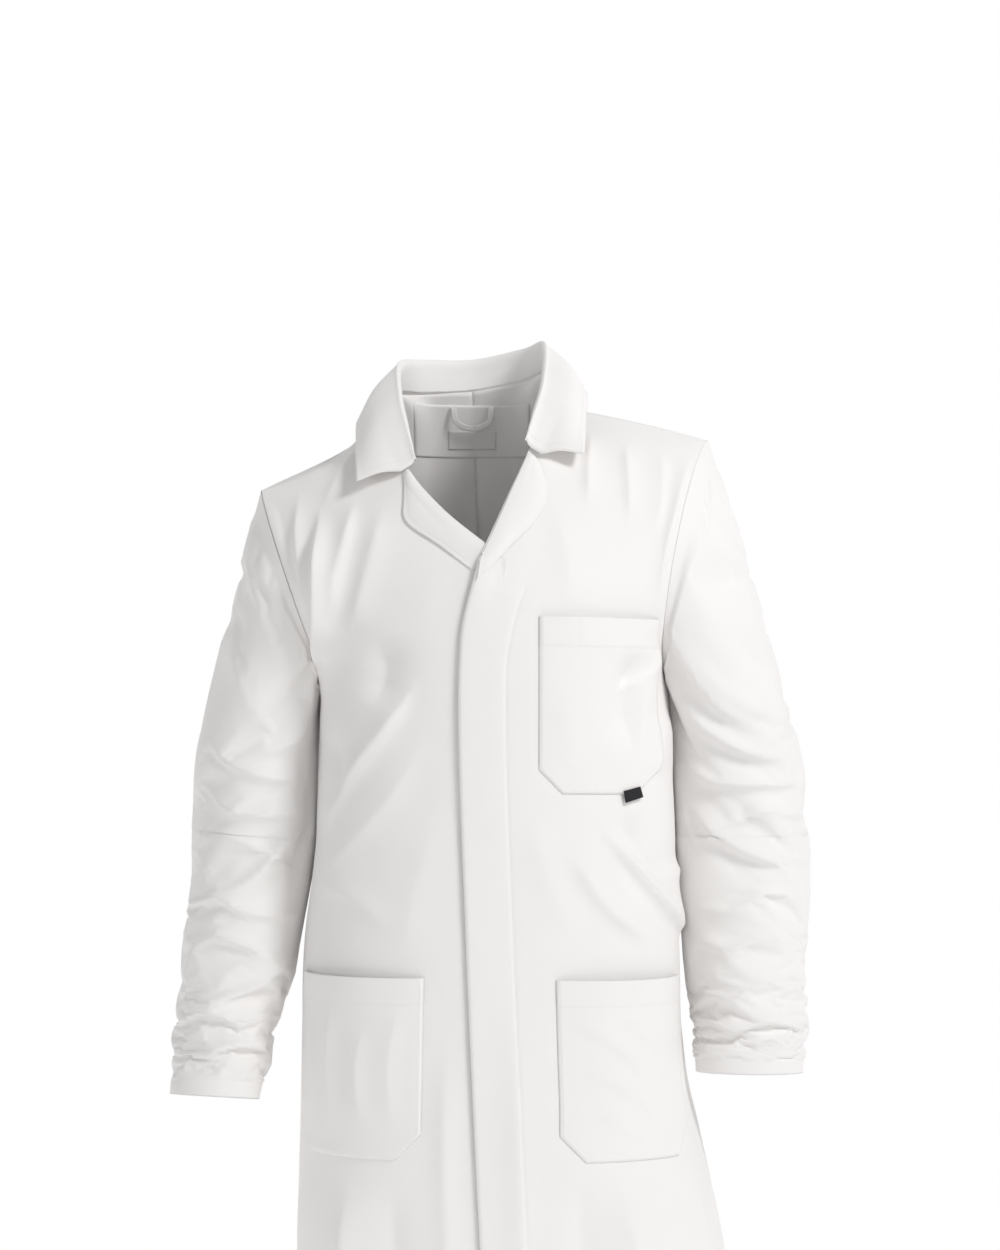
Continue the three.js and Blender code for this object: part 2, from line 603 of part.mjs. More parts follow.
// A lapel is the front's facing turned out over the chest, from the roll line to its free edge.
function addLapels() {
  for (const side of ['left', 'right']) {
    const edge = new THREE.SplineCurve(LAPELS[side].map((p) => new THREE.Vector2(...p)));
    const at = (s, t) => {
      const roll = frontEdge(side, mix(V_BREAK + 0.01, 0.9, 1 - t));
      const free = edge.getPoint(t);
      const x = mix(roll.x + SIDES[side].sign * 2, free.x, s);
      const z = mix(roll.z - 1, free.y, s);
      const lift = LAPEL_LIFT + 1.6 * Math.sin(Math.PI * s);
      return [onFront(side, x, z, lift + CLOTH), onFront(side, x, z, lift)];
    };
    add(`lapel_${side}`, sheetGeometry(4, 8, at), TWILL);
  }
}

// ---------------------------------------------------------------- inside the neck
// A flat patch against the inside of the back, between two widths and two heights.
function backPatch(halfWidth, zTop, zBottom, lift, columns, rows) {
  const at = (s, t) => {
    const x = mix(-halfWidth, halfWidth, s);
    const z = mix(zBottom, zTop, t);
    return [onBack(x, z, -lift), onBack(x, z, -lift - CLOTH)];
  };
  return sheetGeometry(columns, rows, at);
}

function addNeck() {
  const facingLift = CLOTH + LIE_GAP + LAYER_GAP;
  const top = -14;
  const facing = backPatch(NECK_FACING_HALF, top, top - NECK_FACING_DEPTH, facingLift, 6, 4);
  add('back_neck_facing', facing, TWILL);
  const over = facingLift + CLOTH + LIE_GAP;
  const labelTop = top - LOOP.drop - 6;
  const labelLow = labelTop - NECK_LABEL.height;
  add('neck_label', backPatch(NECK_LABEL.width / 2, labelTop, labelLow, over - LAYER_GAP, 4, 2), TAPE);
  addLoop(top, over + LOOP.thickness / 2 + 1.5 * LAYER_GAP);
}

// The hanger loop is a short tape whose two ends are sewn in at the neck seam.
function addLoop(top, lift) {
  const places = [[-1, 0], [-0.85, -0.7], [0, -1], [0.85, -0.7], [1, 0]];
  const path = new THREE.CatmullRomCurve3(places.map(([across, down], k) => {
    const standOff = k === 0 || k === 4 ? -LOOP.sewnIn : LOOP.standOff;
    return onBack(across * LOOP.half, top + down * LOOP.drop, -lift - standOff);
  }));
  const [w, t] = [LOOP.width / 2, LOOP.thickness / 2];
  const section = new THREE.Shape([[-t, -w], [t, -w], [t, w], [-t, w]].map((p) => new THREE.Vector2(...p)));
  const geometry = new THREE.ExtrudeGeometry(section, { steps: 12, extrudePath: path, bevelEnabled: false });
  add('hanger_loop', facingOutGeometry(geometry), TAPE);
}

// ---------------------------------------------------------------- sleeves
// A ring of the sleeve: centred on the arm, square to it, widest from side to side.
function armRing(side, z, angle) {
  const s = SIDES[side];
  const line = s.arm.map((p) => [p[2], p[0]]);
  const depth = s.arm.map((p) => [p[2], p[1]]);
  const centre = (h) => vec([along(line, h), along(depth, h), h]);
  const axis = centre(z + 8).sub(centre(z - 8)).normalize();
  const outward = vec([s.sign, 0, 0]).addScaledVector(axis, -axis.x * s.sign).normalize();
  const forward = vec([0, -1, 0]).addScaledVector(axis, axis.y).normalize();
  return centre(z).addScaledVector(outward, along(s.armWidth, z) * Math.cos(angle))
    .addScaledVector(forward, along(s.armDepth, z) * Math.sin(angle));
}

const RING = 18; // corners round a sleeve

function sleeveTube(side, z0, z1, rows, thickness = CLOTH) {
  const at = (s, t) => {
    const [z, angle] = [mix(z0, z1, t), 2 * Math.PI * s];
    const outside = armRing(side, z, angle);
    const inwards = armRing(side, z, angle + Math.PI).sub(outside).normalize();
    return [outside, outside.clone().addScaledVector(inwards, thickness)];
  };
  return sheetGeometry(RING, rows, at, true);
}

// The sleeve head runs from the armhole seam to the first straight ring.
function sleeveHead(side, zRing) {
  const at = (s, t) => {
    const angle = 2 * Math.PI * s;
    const hole = armhole(side, angle);
    const ring = armRing(side, zRing, angle);
    const start = SEAM_GAP / Math.max(20, hole.distanceTo(ring));
    const w = mix(start * 2, 1 - start, t);
    const outside = hole.clone().lerp(ring, w);
    outside.x += SIDES[side].sign * 6 * Math.sin(Math.PI * w) * Math.abs(Math.cos(angle));
    const centre = armhole(side, 0).add(armhole(side, Math.PI)).multiplyScalar(0.5)
      .lerp(armRing(side, zRing, 0).add(armRing(side, zRing, Math.PI)).multiplyScalar(0.5), w);
    const inwards = centre.sub(outside).normalize();
    return [outside, outside.clone().addScaledVector(inwards, CLOTH)];
  };
  return sheetGeometry(RING, 4, at, true);
}

function addSleeves() {
  for (const side of ['left', 'right']) {
    const s = SIDES[side];
    const [head, elbow, wrist] = [s.underarm[2] - SLEEVE_HEAD_DROP, s.arm[1][2], s.arm.at(-1)[2]];
    const [upper, lower] = [elbow + ELBOW_STRETCH / 2, elbow - ELBOW_STRETCH / 2];
    const hem = wrist + SLEEVE_HEM;
    add(`sleeve_${side}_head`, sleeveHead(side, head), TWILL);
    add(`sleeve_${side}_upper`, sleeveTube(side, head - RING_GAP, upper + RING_GAP, 2), TWILL);
    add(`sleeve_${side}_elbow`, sleeveTube(side, upper - RING_GAP, lower + RING_GAP, 3), TWILL);
    add(`sleeve_${side}_forearm`, sleeveTube(side, lower - RING_GAP, hem + RING_GAP, 5), TWILL);
    add(`sleeve_${side}_hem`, sleeveTube(side, hem - RING_GAP, wrist, 1, 2 * CLOTH), TWILL);
  }
}

addBacks();
addFronts();
addStuds();
addPockets();
addCollar();
addLapels();
addNeck();
addSleeves();

export default coat;
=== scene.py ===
# %% [markdown]
# # A lab coat, from its panels to its stitches
# The coat is built the way a tailor builds one: panels cut and sewn, a collar that stands and
# falls, patch pockets, and sleeves set into armholes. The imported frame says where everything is
# and how it moves. This file makes the cloth that people see, on the same outlines, in metres.

# %% Load the frame
import math

import bpy
import numpy as np
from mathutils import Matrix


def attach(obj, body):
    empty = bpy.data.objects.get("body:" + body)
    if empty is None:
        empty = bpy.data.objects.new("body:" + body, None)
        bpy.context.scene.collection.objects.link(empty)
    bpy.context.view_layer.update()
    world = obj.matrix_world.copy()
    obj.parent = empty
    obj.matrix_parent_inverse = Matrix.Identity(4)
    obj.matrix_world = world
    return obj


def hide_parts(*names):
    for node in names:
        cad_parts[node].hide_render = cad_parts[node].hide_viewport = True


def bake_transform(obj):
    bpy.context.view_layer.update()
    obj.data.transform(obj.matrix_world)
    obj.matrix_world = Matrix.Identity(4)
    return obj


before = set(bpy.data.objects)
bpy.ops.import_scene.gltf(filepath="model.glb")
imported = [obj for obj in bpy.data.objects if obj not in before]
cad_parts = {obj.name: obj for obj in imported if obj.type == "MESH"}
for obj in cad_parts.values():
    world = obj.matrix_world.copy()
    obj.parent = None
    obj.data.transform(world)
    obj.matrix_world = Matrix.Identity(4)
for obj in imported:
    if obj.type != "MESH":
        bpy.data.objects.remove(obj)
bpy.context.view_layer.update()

# %% [markdown]
# ## The coat's own measures
# A designer keeps the body's outline in a few tables: the front edge, the side seams, the
# front and back profiles. They are in millimetres about the middle of the body, and one
# function moves finished points to the frame, whose origin is the centre-back neck seam.

# %% Measures
HEM_Z, CHEST_Z = -1060.0, -290.0
NAPE = np.array([0.0, 75.0, 0.0])
SIDE_Y = 12.0
SQUARENESS = 0.8
FLY_WIDTH, OVERLAP = 48.0, 50.0
SLEEVE_HEM = 19.0
CLOTH = 0.6
UNDER = 4.6  # how deep the right front lies behind the left one's face
BREAK = (8.0, -144.0, -185.0)
EDGE_X = [(HEM_Z, 20), (-875, 10), (-575, -4), (-325, -12), (-265, -10), (-185, 8)]
FRONT_Y = [(HEM_Z, -162), (-700, -156), (-450, -147), (-325, -150), (-218, -149), (-185, -144)]
BACK_X = [(HEM_Z, 46), (-450, 28), (-200, 10), (0, 0)]
BACK_Y = [(HEM_Z, 142), (-700, 132), (-450, 112), (-200, 134), (-100, 120), (0, 75)]
SIDES = {
    "right": {
        "sign": -1,
        "seam_x": [(HEM_Z, -186), (-775, -180), (-595, -176), (-470, -163), (-387, -161), (-298, -157)],
        "shoulder": (-221, 20, -108),
        "underarm": (-157, SIDE_Y, -298),
        "forward": (2, -92, -5),
        "backward": (12, 84, 0),
        "neck": (-76, 15, -8),
        "saddle": (-119, 16, -56),
        "roll": [(-30, -114, -130), (-66, -74, -84)],
        "collar_end": (-58, -74, -84),
        "arm": [(-222, 22, -320), (-231, 30, -440), (-250, 6, -600), (-266, -34, -739)],
        "arm_width": [(-320, 58), (-440, 64), (-600, 55), (-739, 46)],
        "arm_depth": [(-320, 66), (-440, 60), (-600, 54), (-739, 48)],
        "flare": 0,
    },
    "left": {
        "sign": 1,
        "seam_x": [(HEM_Z, 284), (-895, 262), (-790, 241), (-720, 224), (-585, 217), (-455, 213),
                   (-305, 206)],
        "shoulder": (249, 10, -56),
        "underarm": (206, SIDE_Y, -305),
        "forward": (-21, -88, -8),
        "backward": (-14, 86, 0),
        "neck": (77, 15, 16),
        "saddle": (119, 14, -24),
        "roll": [(38, -112, -118), (63, -74, -60)],
        "collar_end": (57, -74, -62),
        "arm": [(275, 20, -330), (290, 24, -440), (293, 14, -590), (291, -4, -717)],
        "arm_width": [(-330, 60), (-440, 64), (-590, 60), (-717, 55)],
        "arm_depth": [(-330, 66), (-440, 60), (-590, 56), (-717, 52)],
        "flare": 1,
    },
}
V_CHEST, V_BREAK, TOP_BLEND, U_NECK = 0.66, 0.76, 0.8, 0.36
LEFT_FOLD = ((57, -195), (84, HEM_Z))  # the line that the left front folds back about


def to_frame(points):
    """Millimetres about the middle of the body become metres from the nape."""
    return (np.asarray(points, float) - NAPE) / 1000


# %% [markdown]
# ## Curves that pass through their points
# Pattern cutters join a few measured points with a smooth curve. Two kinds are enough here:
# one that gives a value for each height, and one that runs through points in space.

# %% Curves
def along(table, at):
    """Cubic pieces through (place, value) pairs. The slope at a pair is the harmonic mean of the
    slopes on its two sides, or flat where they disagree, so the curve never overshoots."""
    place, value = np.array(sorted(table), float).T
    at = np.clip(at, place[0], place[-1])
    step = np.diff(place)
    slope = np.diff(value) / step
    both = slope[1:] * slope[:-1]
    inner = np.where(both > 0, 2 * both / np.where(both > 0, slope[1:] + slope[:-1], 1), 0)
    tangent = np.concatenate([slope[:1], inner, slope[-1:]])
    i = np.clip(np.searchsorted(place, at, side="right") - 1, 0, len(step) - 1)
    s = (at - place[i]) / step[i]
    return (
        value[i] * (1 + 2 * s) * (1 - s) ** 2
        + tangent[i] * step[i] * s * (1 - s) ** 2
        + value[i + 1] * s * s * (3 - 2 * s)
        + tangent[i + 1] * step[i] * s * s * (s - 1)
    )


def spline(points, t):
    """A Catmull-Rom curve with centripetal spacing: each piece is a cubic whose end slopes come
    from the neighbouring points, weighted by the square roots of the gaps between them."""
    p = np.asarray(points, float)
    p = np.vstack([2 * p[0] - p[1], p, 2 * p[-1] - p[-2]])
    gap = np.maximum(np.linalg.norm(np.diff(p, axis=0), axis=1) ** 0.5, 1e-4)
    x = np.clip(np.asarray(t, float), 0, 1) * (len(p) - 3)
    i = np.minimum(x.astype(int), len(p) - 4)
    s = (x - i)[..., None]
    a, b, c, d = p[i], p[i + 1], p[i + 2], p[i + 3]
    ga, gb, gc = gap[i][..., None], gap[i + 1][..., None], gap[i + 2][..., None]
    start = ((b - a) / ga - (c - a) / (ga + gb) + (c - b) / gb) * gb
    end = ((c - b) / gb - (d - b) / (gb + gc) + (d - c) / gc) * gb
    return (
        b
        + start * s
        + (-3 * b + 3 * c - 2 * start - end) * s**2
        + (2 * b - 2 * c + start + end) * s**3
    )


def smooth(x, low=0.0, high=1.0):
    """The smoothstep 3t^2 - 2t^3 between low and high."""
    t = np.clip((np.asarray(x, float) - low) / (high - low), 0, 1)
    return t * t * (3 - 2 * t)


def lerp(a, b, t):
    """A straight mix of a and b."""
    return a + (b - a) * t


def xyz(x, y, z):
    """Points from three arrays of coordinates."""
    return np.stack(np.broadcast_arrays(x, y, z), axis=-1)


print("at the waist the front edge is", float(along(EDGE_X, -575.0)), "mm from the middle")

# %% [markdown]
# ## The panels as surfaces
# Each panel is a surface of two parameters: u runs from its centre edge to its side, v from the
# hem to the shoulder. A level row is part of a squared ellipse, which is how cloth stands round a
# chest. Near the shoulder the row bends into the shoulder seam.

# %% Armhole and side seam
def armhole(side, angle):
    """An oval from the shoulder point (0) over the front to the underarm (pi) and up the back."""
    s = SIDES[side]
    top, low = np.array(s["shoulder"], float), np.array(s["underarm"], float)
    angle = np.asarray(angle, float)[..., None]
    reach = np.where(np.sin(angle) > 0, np.array(s["forward"]), np.array(s["backward"]))
    return (top + low) / 2 + (top - low) / 2 * np.cos(angle) + reach * np.abs(np.sin(angle))


def outer_edge(side, v, facing):
    """The side seam below the underarm, the armhole above it."""
    s = SIDES[side]
    z = lerp(HEM_Z, s["underarm"][2], v / V_CHEST)
    seam = xyz(along(s["seam_x"], z), SIDE_Y, z)
    hole = armhole(side, facing * np.pi * np.clip((1 - v) / (1 - V_CHEST), 0, 1))
    return np.where((v > V_CHEST)[..., None], hole, seam)


print("the left underarm is at", SIDES["left"]["underarm"], "mm")

# %% [markdown]
# ## The centre edges
# A front's own edge runs up to the break, where the lapel turns out, and goes on along the roll
# line to the neck. The right front goes on under the left one by the overlap, for the studs.

# %% Front edge and back centre
OVERLAP_AT_BREAK = 0.6  # the share of the overlap that is left at the break


def height(v):
    """The level of a share v of a front's height, up to the break."""
    low = lerp(HEM_Z, CHEST_Z, v / V_CHEST)
    return np.where(v < V_CHEST, low, lerp(CHEST_Z, BREAK[2], (v - V_CHEST) / (V_BREAK - V_CHEST)))


def height_share(z):
    """The reverse of height()."""
    low = V_CHEST * (z - HEM_Z) / (CHEST_Z - HEM_Z)
    high = V_CHEST + (V_BREAK - V_CHEST) * (z - CHEST_Z) / (BREAK[2] - CHEST_Z)
    return np.where(z <= CHEST_Z, low, high)


def front_edge(side, v):
    """The front edge up to the break, then the roll line and the neckline."""
    hidden = side == "right"
    z = height(np.minimum(v, V_BREAK))
    narrowing = lerp(1, OVERLAP_AT_BREAK, smooth(v, V_CHEST, V_BREAK)) if hidden else 0.0
    edge = xyz(along(EDGE_X, z) + OVERLAP * narrowing, along(FRONT_Y, z) + UNDER * hidden, z)
    s = SIDES[side]
    start_x = BREAK[0] + (OVERLAP_AT_BREAK * OVERLAP if hidden else 0)
    path = [(start_x, BREAK[1] + UNDER * hidden, BREAK[2]), *s["roll"], s["neck"]]
    return np.where((v > V_BREAK)[..., None], spline(path, (v - V_BREAK) / (1 - V_BREAK)), edge)


def back_centre(v):
    """The centre-back seam from the hem to the nape."""
    top = lerp(CHEST_Z, NAPE[2], (v - V_CHEST) / (1 - V_CHEST))
    z = np.where(v < V_CHEST, lerp(HEM_Z, CHEST_Z, v / V_CHEST), top)
    return xyz(along(BACK_X, z), along(BACK_Y, z), z)


print("the right front starts", OVERLAP, "mm past the left one's edge")

# %% [markdown]
# ## Rows
# Every point between a centre edge and a side lies on one level row. A squared ellipse is
# flatter in front and rounder at the side than a circle, as a coat is on a chest.

# %% Rows from centre to side
def row_angle(inner, outer):
    """How far round its ellipse a row goes before it meets the side."""
    depth = np.clip((outer[..., 1] - inner[..., 1]) / (SIDE_Y - inner[..., 1]), 0.02, 1)
    return np.arccos(np.maximum(0, 1 - depth) ** (1 / SQUARENESS))


def row(inner, outer, u):
    """The squared ellipse: across is sin^p of the angle, depth is 1 - cos^p of it."""
    end = row_angle(inner, outer)
    angle = end * np.clip(u, 0, 1)
    across = (np.sin(angle) / np.sin(end)) ** SQUARENESS
    deep = (1 - np.cos(angle) ** SQUARENESS) / (1 - np.cos(end) ** SQUARENESS)
    part = np.stack([across, deep, across], axis=-1)
    return inner + (outer - inner) * part


def share_at_x(side, v, x):
    """The share u of a front row that reaches a width x."""
    inner, outer = front_edge(side, v), outer_edge(side, v, 1)
    end = row_angle(inner, outer)
    across = np.clip((x - inner[..., 0]) / (outer[..., 0] - inner[..., 0]), 0, 1)
    return np.arcsin(np.clip(across ** (1 / SQUARENESS) * np.sin(end), 0, 1)) / end


print("a row at the chest turns", float(np.degrees(row_angle(
    front_edge("left", np.array(V_CHEST)), outer_edge("left", np.array(V_CHEST), 1))).round(1)), "degrees")

# %% [markdown]
# ## Whole panels
# The shoulder seam joins a front and a back from the neck to the shoulder point. A panel made
# straight from tables has a crease where two of them meet, at chest height. Averaging each
# point with a few rows above and below takes it out, as pressing does.

# %% Shoulders and whole panels
def shoulder_seam(side, t):
    """The seam by its own length, from the neck to the shoulder point."""
    s = SIDES[side]
    fine = spline([s["neck"], s["saddle"], s["shoulder"]], np.linspace(0, 1, 60))
    run = np.concatenate([[0], np.cumsum(np.linalg.norm(np.diff(fine, axis=0), axis=1))])
    at = np.clip(t, 0, 1) * run[-1]
    return np.stack([np.interp(at, run, fine[:, k]) for k in range(3)], axis=-1)


def back_top(side, u):
    """A back's upper edge: half the back neckline, then the shoulder seam."""
    s = SIDES[side]
    corner = (s["neck"][0] * 0.69, NAPE[1] - 17, s["neck"][2] * 0.55)
    neckline = spline([NAPE, corner, s["neck"]], u / U_NECK)
    seam = shoulder_seam(side, (u - U_NECK) / (1 - U_NECK))
    return np.where((u > U_NECK)[..., None], seam, neckline)


PRESSING = ((0, 0.3), (-1, 0.22), (1, 0.22), (-2, 0.13), (2, 0.13))  # steps away, and weights
PRESSING_STEP = 0.022
FLARE, FLARE_FROM, FLARE_TO = 34, 720, 920


def panel(side, facing, u, v):
    """A plain panel, averaged over a few near rows so that no crease runs across it. Its seams
    and ends stay where they are."""
    u, v = np.broadcast_arrays(np.asarray(u, float), np.asarray(v, float))
    reach = PRESSING_STEP * smooth(1 - u, 0, 0.12) * smooth(u, 0, 0.05)
    reach = reach * smooth(1 - v, 0.02, 0.1) * smooth(v, 0.05, 0.1)
    return sum(weight * bare_panel(side, facing, u, v + k * reach) for k, weight in PRESSING)


def bare_panel(side, facing, u, v):
    """A point of a panel straight from the tables."""
    u, v = np.broadcast_arrays(np.asarray(u, float), np.asarray(v, float))
    centre = front_edge if facing > 0 else lambda _, w: back_centre(w)
    out = row(centre(side, v), outer_edge(side, v, facing), u)
    one = np.ones_like(v)
    plain = row(centre(side, one), np.array(SIDES[side]["shoulder"], float) * one[..., None], u)
    target = shoulder_seam(side, u) if facing > 0 else back_top(side, u)
    out = out + (target - plain) * smooth(v, TOP_BLEND, 1)[..., None]
    if facing < 0:
        open_out = SIDES[side]["flare"] * smooth(-out[..., 2], FLARE_FROM, FLARE_TO) * FLARE
        out[..., 0] += open_out * np.sin(np.pi * u) ** 2 * u
    return out


print("left side seam at the waist:", panel("left", 1, 1.0, 0.5).round(1), "mm")

# %% [markdown]
# ## Folds
# A fold is a ridge along a curve. It is placed in the front view, on the plane of the chest, as
# an artist would draw it, and it lifts the cloth along its normal. A lean makes one flank
# steeper than the other, as where cloth hangs over itself. Hollows are folds of negative height.

# %% Drawing folds
EYE = np.array([30.0, -3250.0, -250.0])
CHEST_DEPTH = 3100.0
CREST, SHARPNESS = 1.35, 1.4


def seen(points):
    """Width and height as drawn on the plane of the chest, from the eye in front of the coat."""
    scale = (points[..., 1] - EYE[1]) / CHEST_DEPTH
    return np.stack([
        EYE[0] + (points[..., 0] - EYE[0]) / scale,
        EYE[2] + (points[..., 2] - EYE[2]) / scale,
    ], axis=-1)


def fold(flat, path, width, height_mm, lean=0.0, fade=0.35):
    """A ridge exp(-|d / w|^SHARPNESS) across the path, d being the signed distance from it. The
    width is 1 - lean on one side and 1 + lean on the other, and the height fades at both ends."""
    line = spline([(x, z, 0) for x, z in path], np.linspace(0, 1, 40))[:, :2]
    reach = width * 4
    low, high = line.min(0) - reach, line.max(0) + reach
    near = np.all((flat >= low) & (flat <= high), axis=-1)
    out = np.zeros(flat.shape[:-1])
    if not near.any():
        return out
    p = flat[near][:, None, :]
    a, d = line[:-1], np.diff(line, axis=0)
    t = np.clip(((p - a) * d).sum(-1) / (d * d).sum(-1), 0, 1)
    off = p - a - d * t[..., None]
    gap = (off * off).sum(-1)
    k = gap.argmin(1)
    rows = np.arange(len(k))
    side = np.sign(d[k, 0] * off[rows, k, 1] - d[k, 1] * off[rows, k, 0])
    run = (k + t[rows, k]) / len(d)
    end = smooth(run, 0, fade) * smooth(1 - run, 0, fade)
    spread = width * (1 + lean * side)
    out[near] = height_mm * end * CREST * np.exp(-((np.sqrt(gap[rows, k]) / spread) ** SHARPNESS))
    return out


def folds(flat, drawn):
    """All the folds of a list, added up."""
    return sum(fold(flat, *one) for one in drawn)


def ripple(flat, size, seed):
    """Uneven ground: waves of random direction, each bent by the one before."""
    random = np.random.default_rng(seed)
    x, z = flat[..., 0] / size, flat[..., 1] / size
    total = np.zeros_like(x)
    for k in range(7):
        a, phase = random.uniform(0, np.pi), random.uniform(0, 6.28)
        wave = np.sin((x * np.cos(a) + z * np.sin(a)) * random.uniform(0.8, 1.6) + phase + 0.9 * total)
        total = total + wave * 0.4
    return total


print("the eye stands", -EYE[1] / 1000, "m in front of the coat")

# %% [markdown]
# ## The folds of this coat
# Each fold is a path of a few points, then its width, height and lean. The right front, on the
# side of negative widths, pulls from the armhole to the closure. The left one drapes over a
# pocket and swings out below it. The back hangs from the shoulder blades.

# %% Fold lists
FRONT_FOLDS = [
    ([(-149, -128), (-150, -190), (-149, -250), (-151, -330)], 8, 14, 0.4),
    ([(-170, -112), (-172, -160), (-166, -215), (-158, -262)], 7, 5, 0.2),
    ([(-112, -118), (-122, -160), (-133, -205), (-138, -248)], 8, 5.5, -0.3),
    ([(-84, -122), (-96, -170), (-112, -228), (-122, -262)], 11, 4, 0.2),
    ([(-112, -40), (-145, -78), (-178, -108)], 9, 3, 0.2),
    ([(-96, -52), (-128, -98), (-150, -140)], 8, 2.5, 0.2),
    ([(-95, -258), (-88, -296), (-100, -335)], 20, -7, 0.1),
    ([(-50, -300), (-82, -352), (-118, -400), (-152, -468)], 10, 7.5, -0.4),
    ([(-40, -352), (-78, -420), (-126, -478), (-160, -520)], 15, 3.5, -0.3),
    ([(-150, -345), (-128, -400), (-130, -440)], 14, -4, 0.0),
    ([(-158, -505), (-120, -520), (-70, -560)], 13, 3, 0.2),
    ([(-30, -430), (-56, -520), (-70, -590)], 22, 2.5, 0.1),
    ([(-20, -640), (-26, -760), (-22, -900), (-16, -1060)], 14, 4, 0.2),
    ([(-120, -790), (-126, -880), (-122, -960), (-126, -1060)], 15, 8, 0.1),
    ([(-80, -800), (-78, -900), (-84, -1060)], 16, -4, 0.1),
    ([(122, -52), (118, -90), (119, -135)], 8, 3, 0.3),
    ([(155, -62), (158, -105), (160, -150)], 8, 3, 0.3),
    ([(190, -70), (192, -112), (182, -170)], 9, 2.5, -0.2),
    ([(226, -72), (207, -130), (192, -188), (186, -240)], 5, 3.5, -0.3),
    ([(80, -120), (96, -180), (100, -232)], 18, 2.5, 0.1),
    ([(168, -272), (158, -320), (164, -385)], 17, -8, 0.0),
    ([(192, -262), (178, -300), (140, -322)], 8, 4, 0.4),
    ([(198, -330), (190, -372), (182, -405)], 10, 4, 0.2),
    ([(150, -432), (172, -480), (206, -520)], 15, -8, 0.1),
    ([(128, -448), (162, -492), (196, -536), (222, -568)], 9, 9, 0.5),
    ([(96, -470), (134, -530), (190, -574)], 12, 5, 0.4),
    ([(60, -430), (76, -500), (110, -580)], 20, 2.5, 0.1),
    ([(224, -470), (200, -500), (170, -512)], 8, 4, 0.3),
    ([(40, -600), (48, -760), (52, -900), (58, -1060)], 16, 3, 0.1),
    ([(150, -790), (164, -880), (176, -970), (184, -1060)], 18, 7, 0.1),
    ([(110, -800), (114, -900), (122, -1060)], 17, -5, 0.1),
    ([(214, -760), (232, -860), (248, -960), (258, -1060)], 14, 6, 0.2),
]
BACK_FOLDS = [
    ([(-60, -90), (-120, -150), (-150, -230)], 14, 4, 0.3),
    ([(70, -80), (140, -140), (176, -220)], 14, 4, -0.3),
    ([(-150, -300), (-90, -340), (-20, -350)], 14, 4, 0.3),
    ([(190, -300), (120, -345), (40, -352)], 14, 4, -0.3),
    ([(-150, -400), (-80, -430), (0, -420)], 13, 3, 0.3),
    ([(190, -410), (110, -440), (40, -424)], 13, 3, -0.3),
    ([(-110, -560), (-120, -750), (-116, -1060)], 22, 7, 0.1),
    ([(-50, -600), (-44, -800), (-40, -1060)], 20, -5, 0.1),
    ([(110, -560), (140, -780), (160, -1060)], 22, 7, 0.1),
    ([(190, -600), (214, -800), (232, -1060)], 20, 6, 0.1),
]
print(len(FRONT_FOLDS), "front folds,", len(BACK_FOLDS), "back folds")

# %% [markdown]
# ## Laying folds on a panel
# A fold moves the cloth along the panel's outward direction, found by small steps. Sewn edges
# hold the cloth down, so folds die away there. Pockets and patches need the reverse: the place
# on a panel that lies at a known width and height, which a few of Newton's steps find.

# %% Draped panels
BROAD_RIPPLE, FINE_RIPPLE = (0.9, 60, 3), (0.25, 17, 9)  # height, size, seed


def lift_of(points, facing):
    """How far the cloth stands off the plain panel at each point."""
    flat = seen(points) if facing > 0 else points[..., [0, 2]]
    lift = folds(flat, FRONT_FOLDS if facing > 0 else BACK_FOLDS)
    for height_mm, size, seed in (BROAD_RIPPLE, FINE_RIPPLE):
        lift = lift + height_mm * ripple(flat, size, seed + facing)
    return lift


def normals(side, facing, u, v):
    """Outward normals by small steps of u and v."""
    e = 1e-3
    du = panel(side, facing, np.clip(u + e, 0, 1), v) - panel(side, facing, np.clip(u - e, 0, 1), v)
    dv = panel(side, facing, u, np.clip(v + e, 0, 1)) - panel(side, facing, u, np.clip(v - e, 0, 1))
    n = np.cross(du, dv)
    return n / np.linalg.norm(n, axis=-1, keepdims=True) * SIDES[side]["sign"] * facing


def draped(side, facing, u, v, lift=0.0):
    """A point of the folded coat, lifted off it. Folds die away at the seams."""
    base = panel(side, facing, u, v)
    ease = smooth(1 - u, 0, 0.05) * smooth(1 - v, 0, 0.03)
    if facing < 0:
        ease = ease * smooth(u, 0, 0.08)
    return base + normals(side, facing, u, v) * (lift_of(base, facing) * ease + lift)[..., None]


def locate(side, facing, x, z):
    """Newton's steps to the (u, v) of a panel that lies at a width and height."""
    x, z = np.broadcast_arrays(np.asarray(x, float), np.asarray(z, float))
    u, v = np.full(x.shape, 0.4), np.full(x.shape, 0.7)
    e = 1e-3
    for _ in range(20):
        here = panel(side, facing, u, v)
        du = (panel(side, facing, np.minimum(1, u + e), v) - here) / e
        dv = (panel(side, facing, u, np.minimum(1, v + e)) - here) / e
        det = du[..., 0] * dv[..., 2] - dv[..., 0] * du[..., 2]
        ex, ez = x - here[..., 0], z - here[..., 2]
        u = np.clip(u + 0.7 * (ex * dv[..., 2] - ez * dv[..., 0]) / det, 0.002, 0.995)
        v = np.clip(v + 0.7 * (ez * du[..., 0] - ex * du[..., 2]) / det, 0.002, 0.995)
    return u, v


print("the breast pocket's corner is at u, v:", [round(float(k), 3) for k in locate("left", 1, 69, -241)])
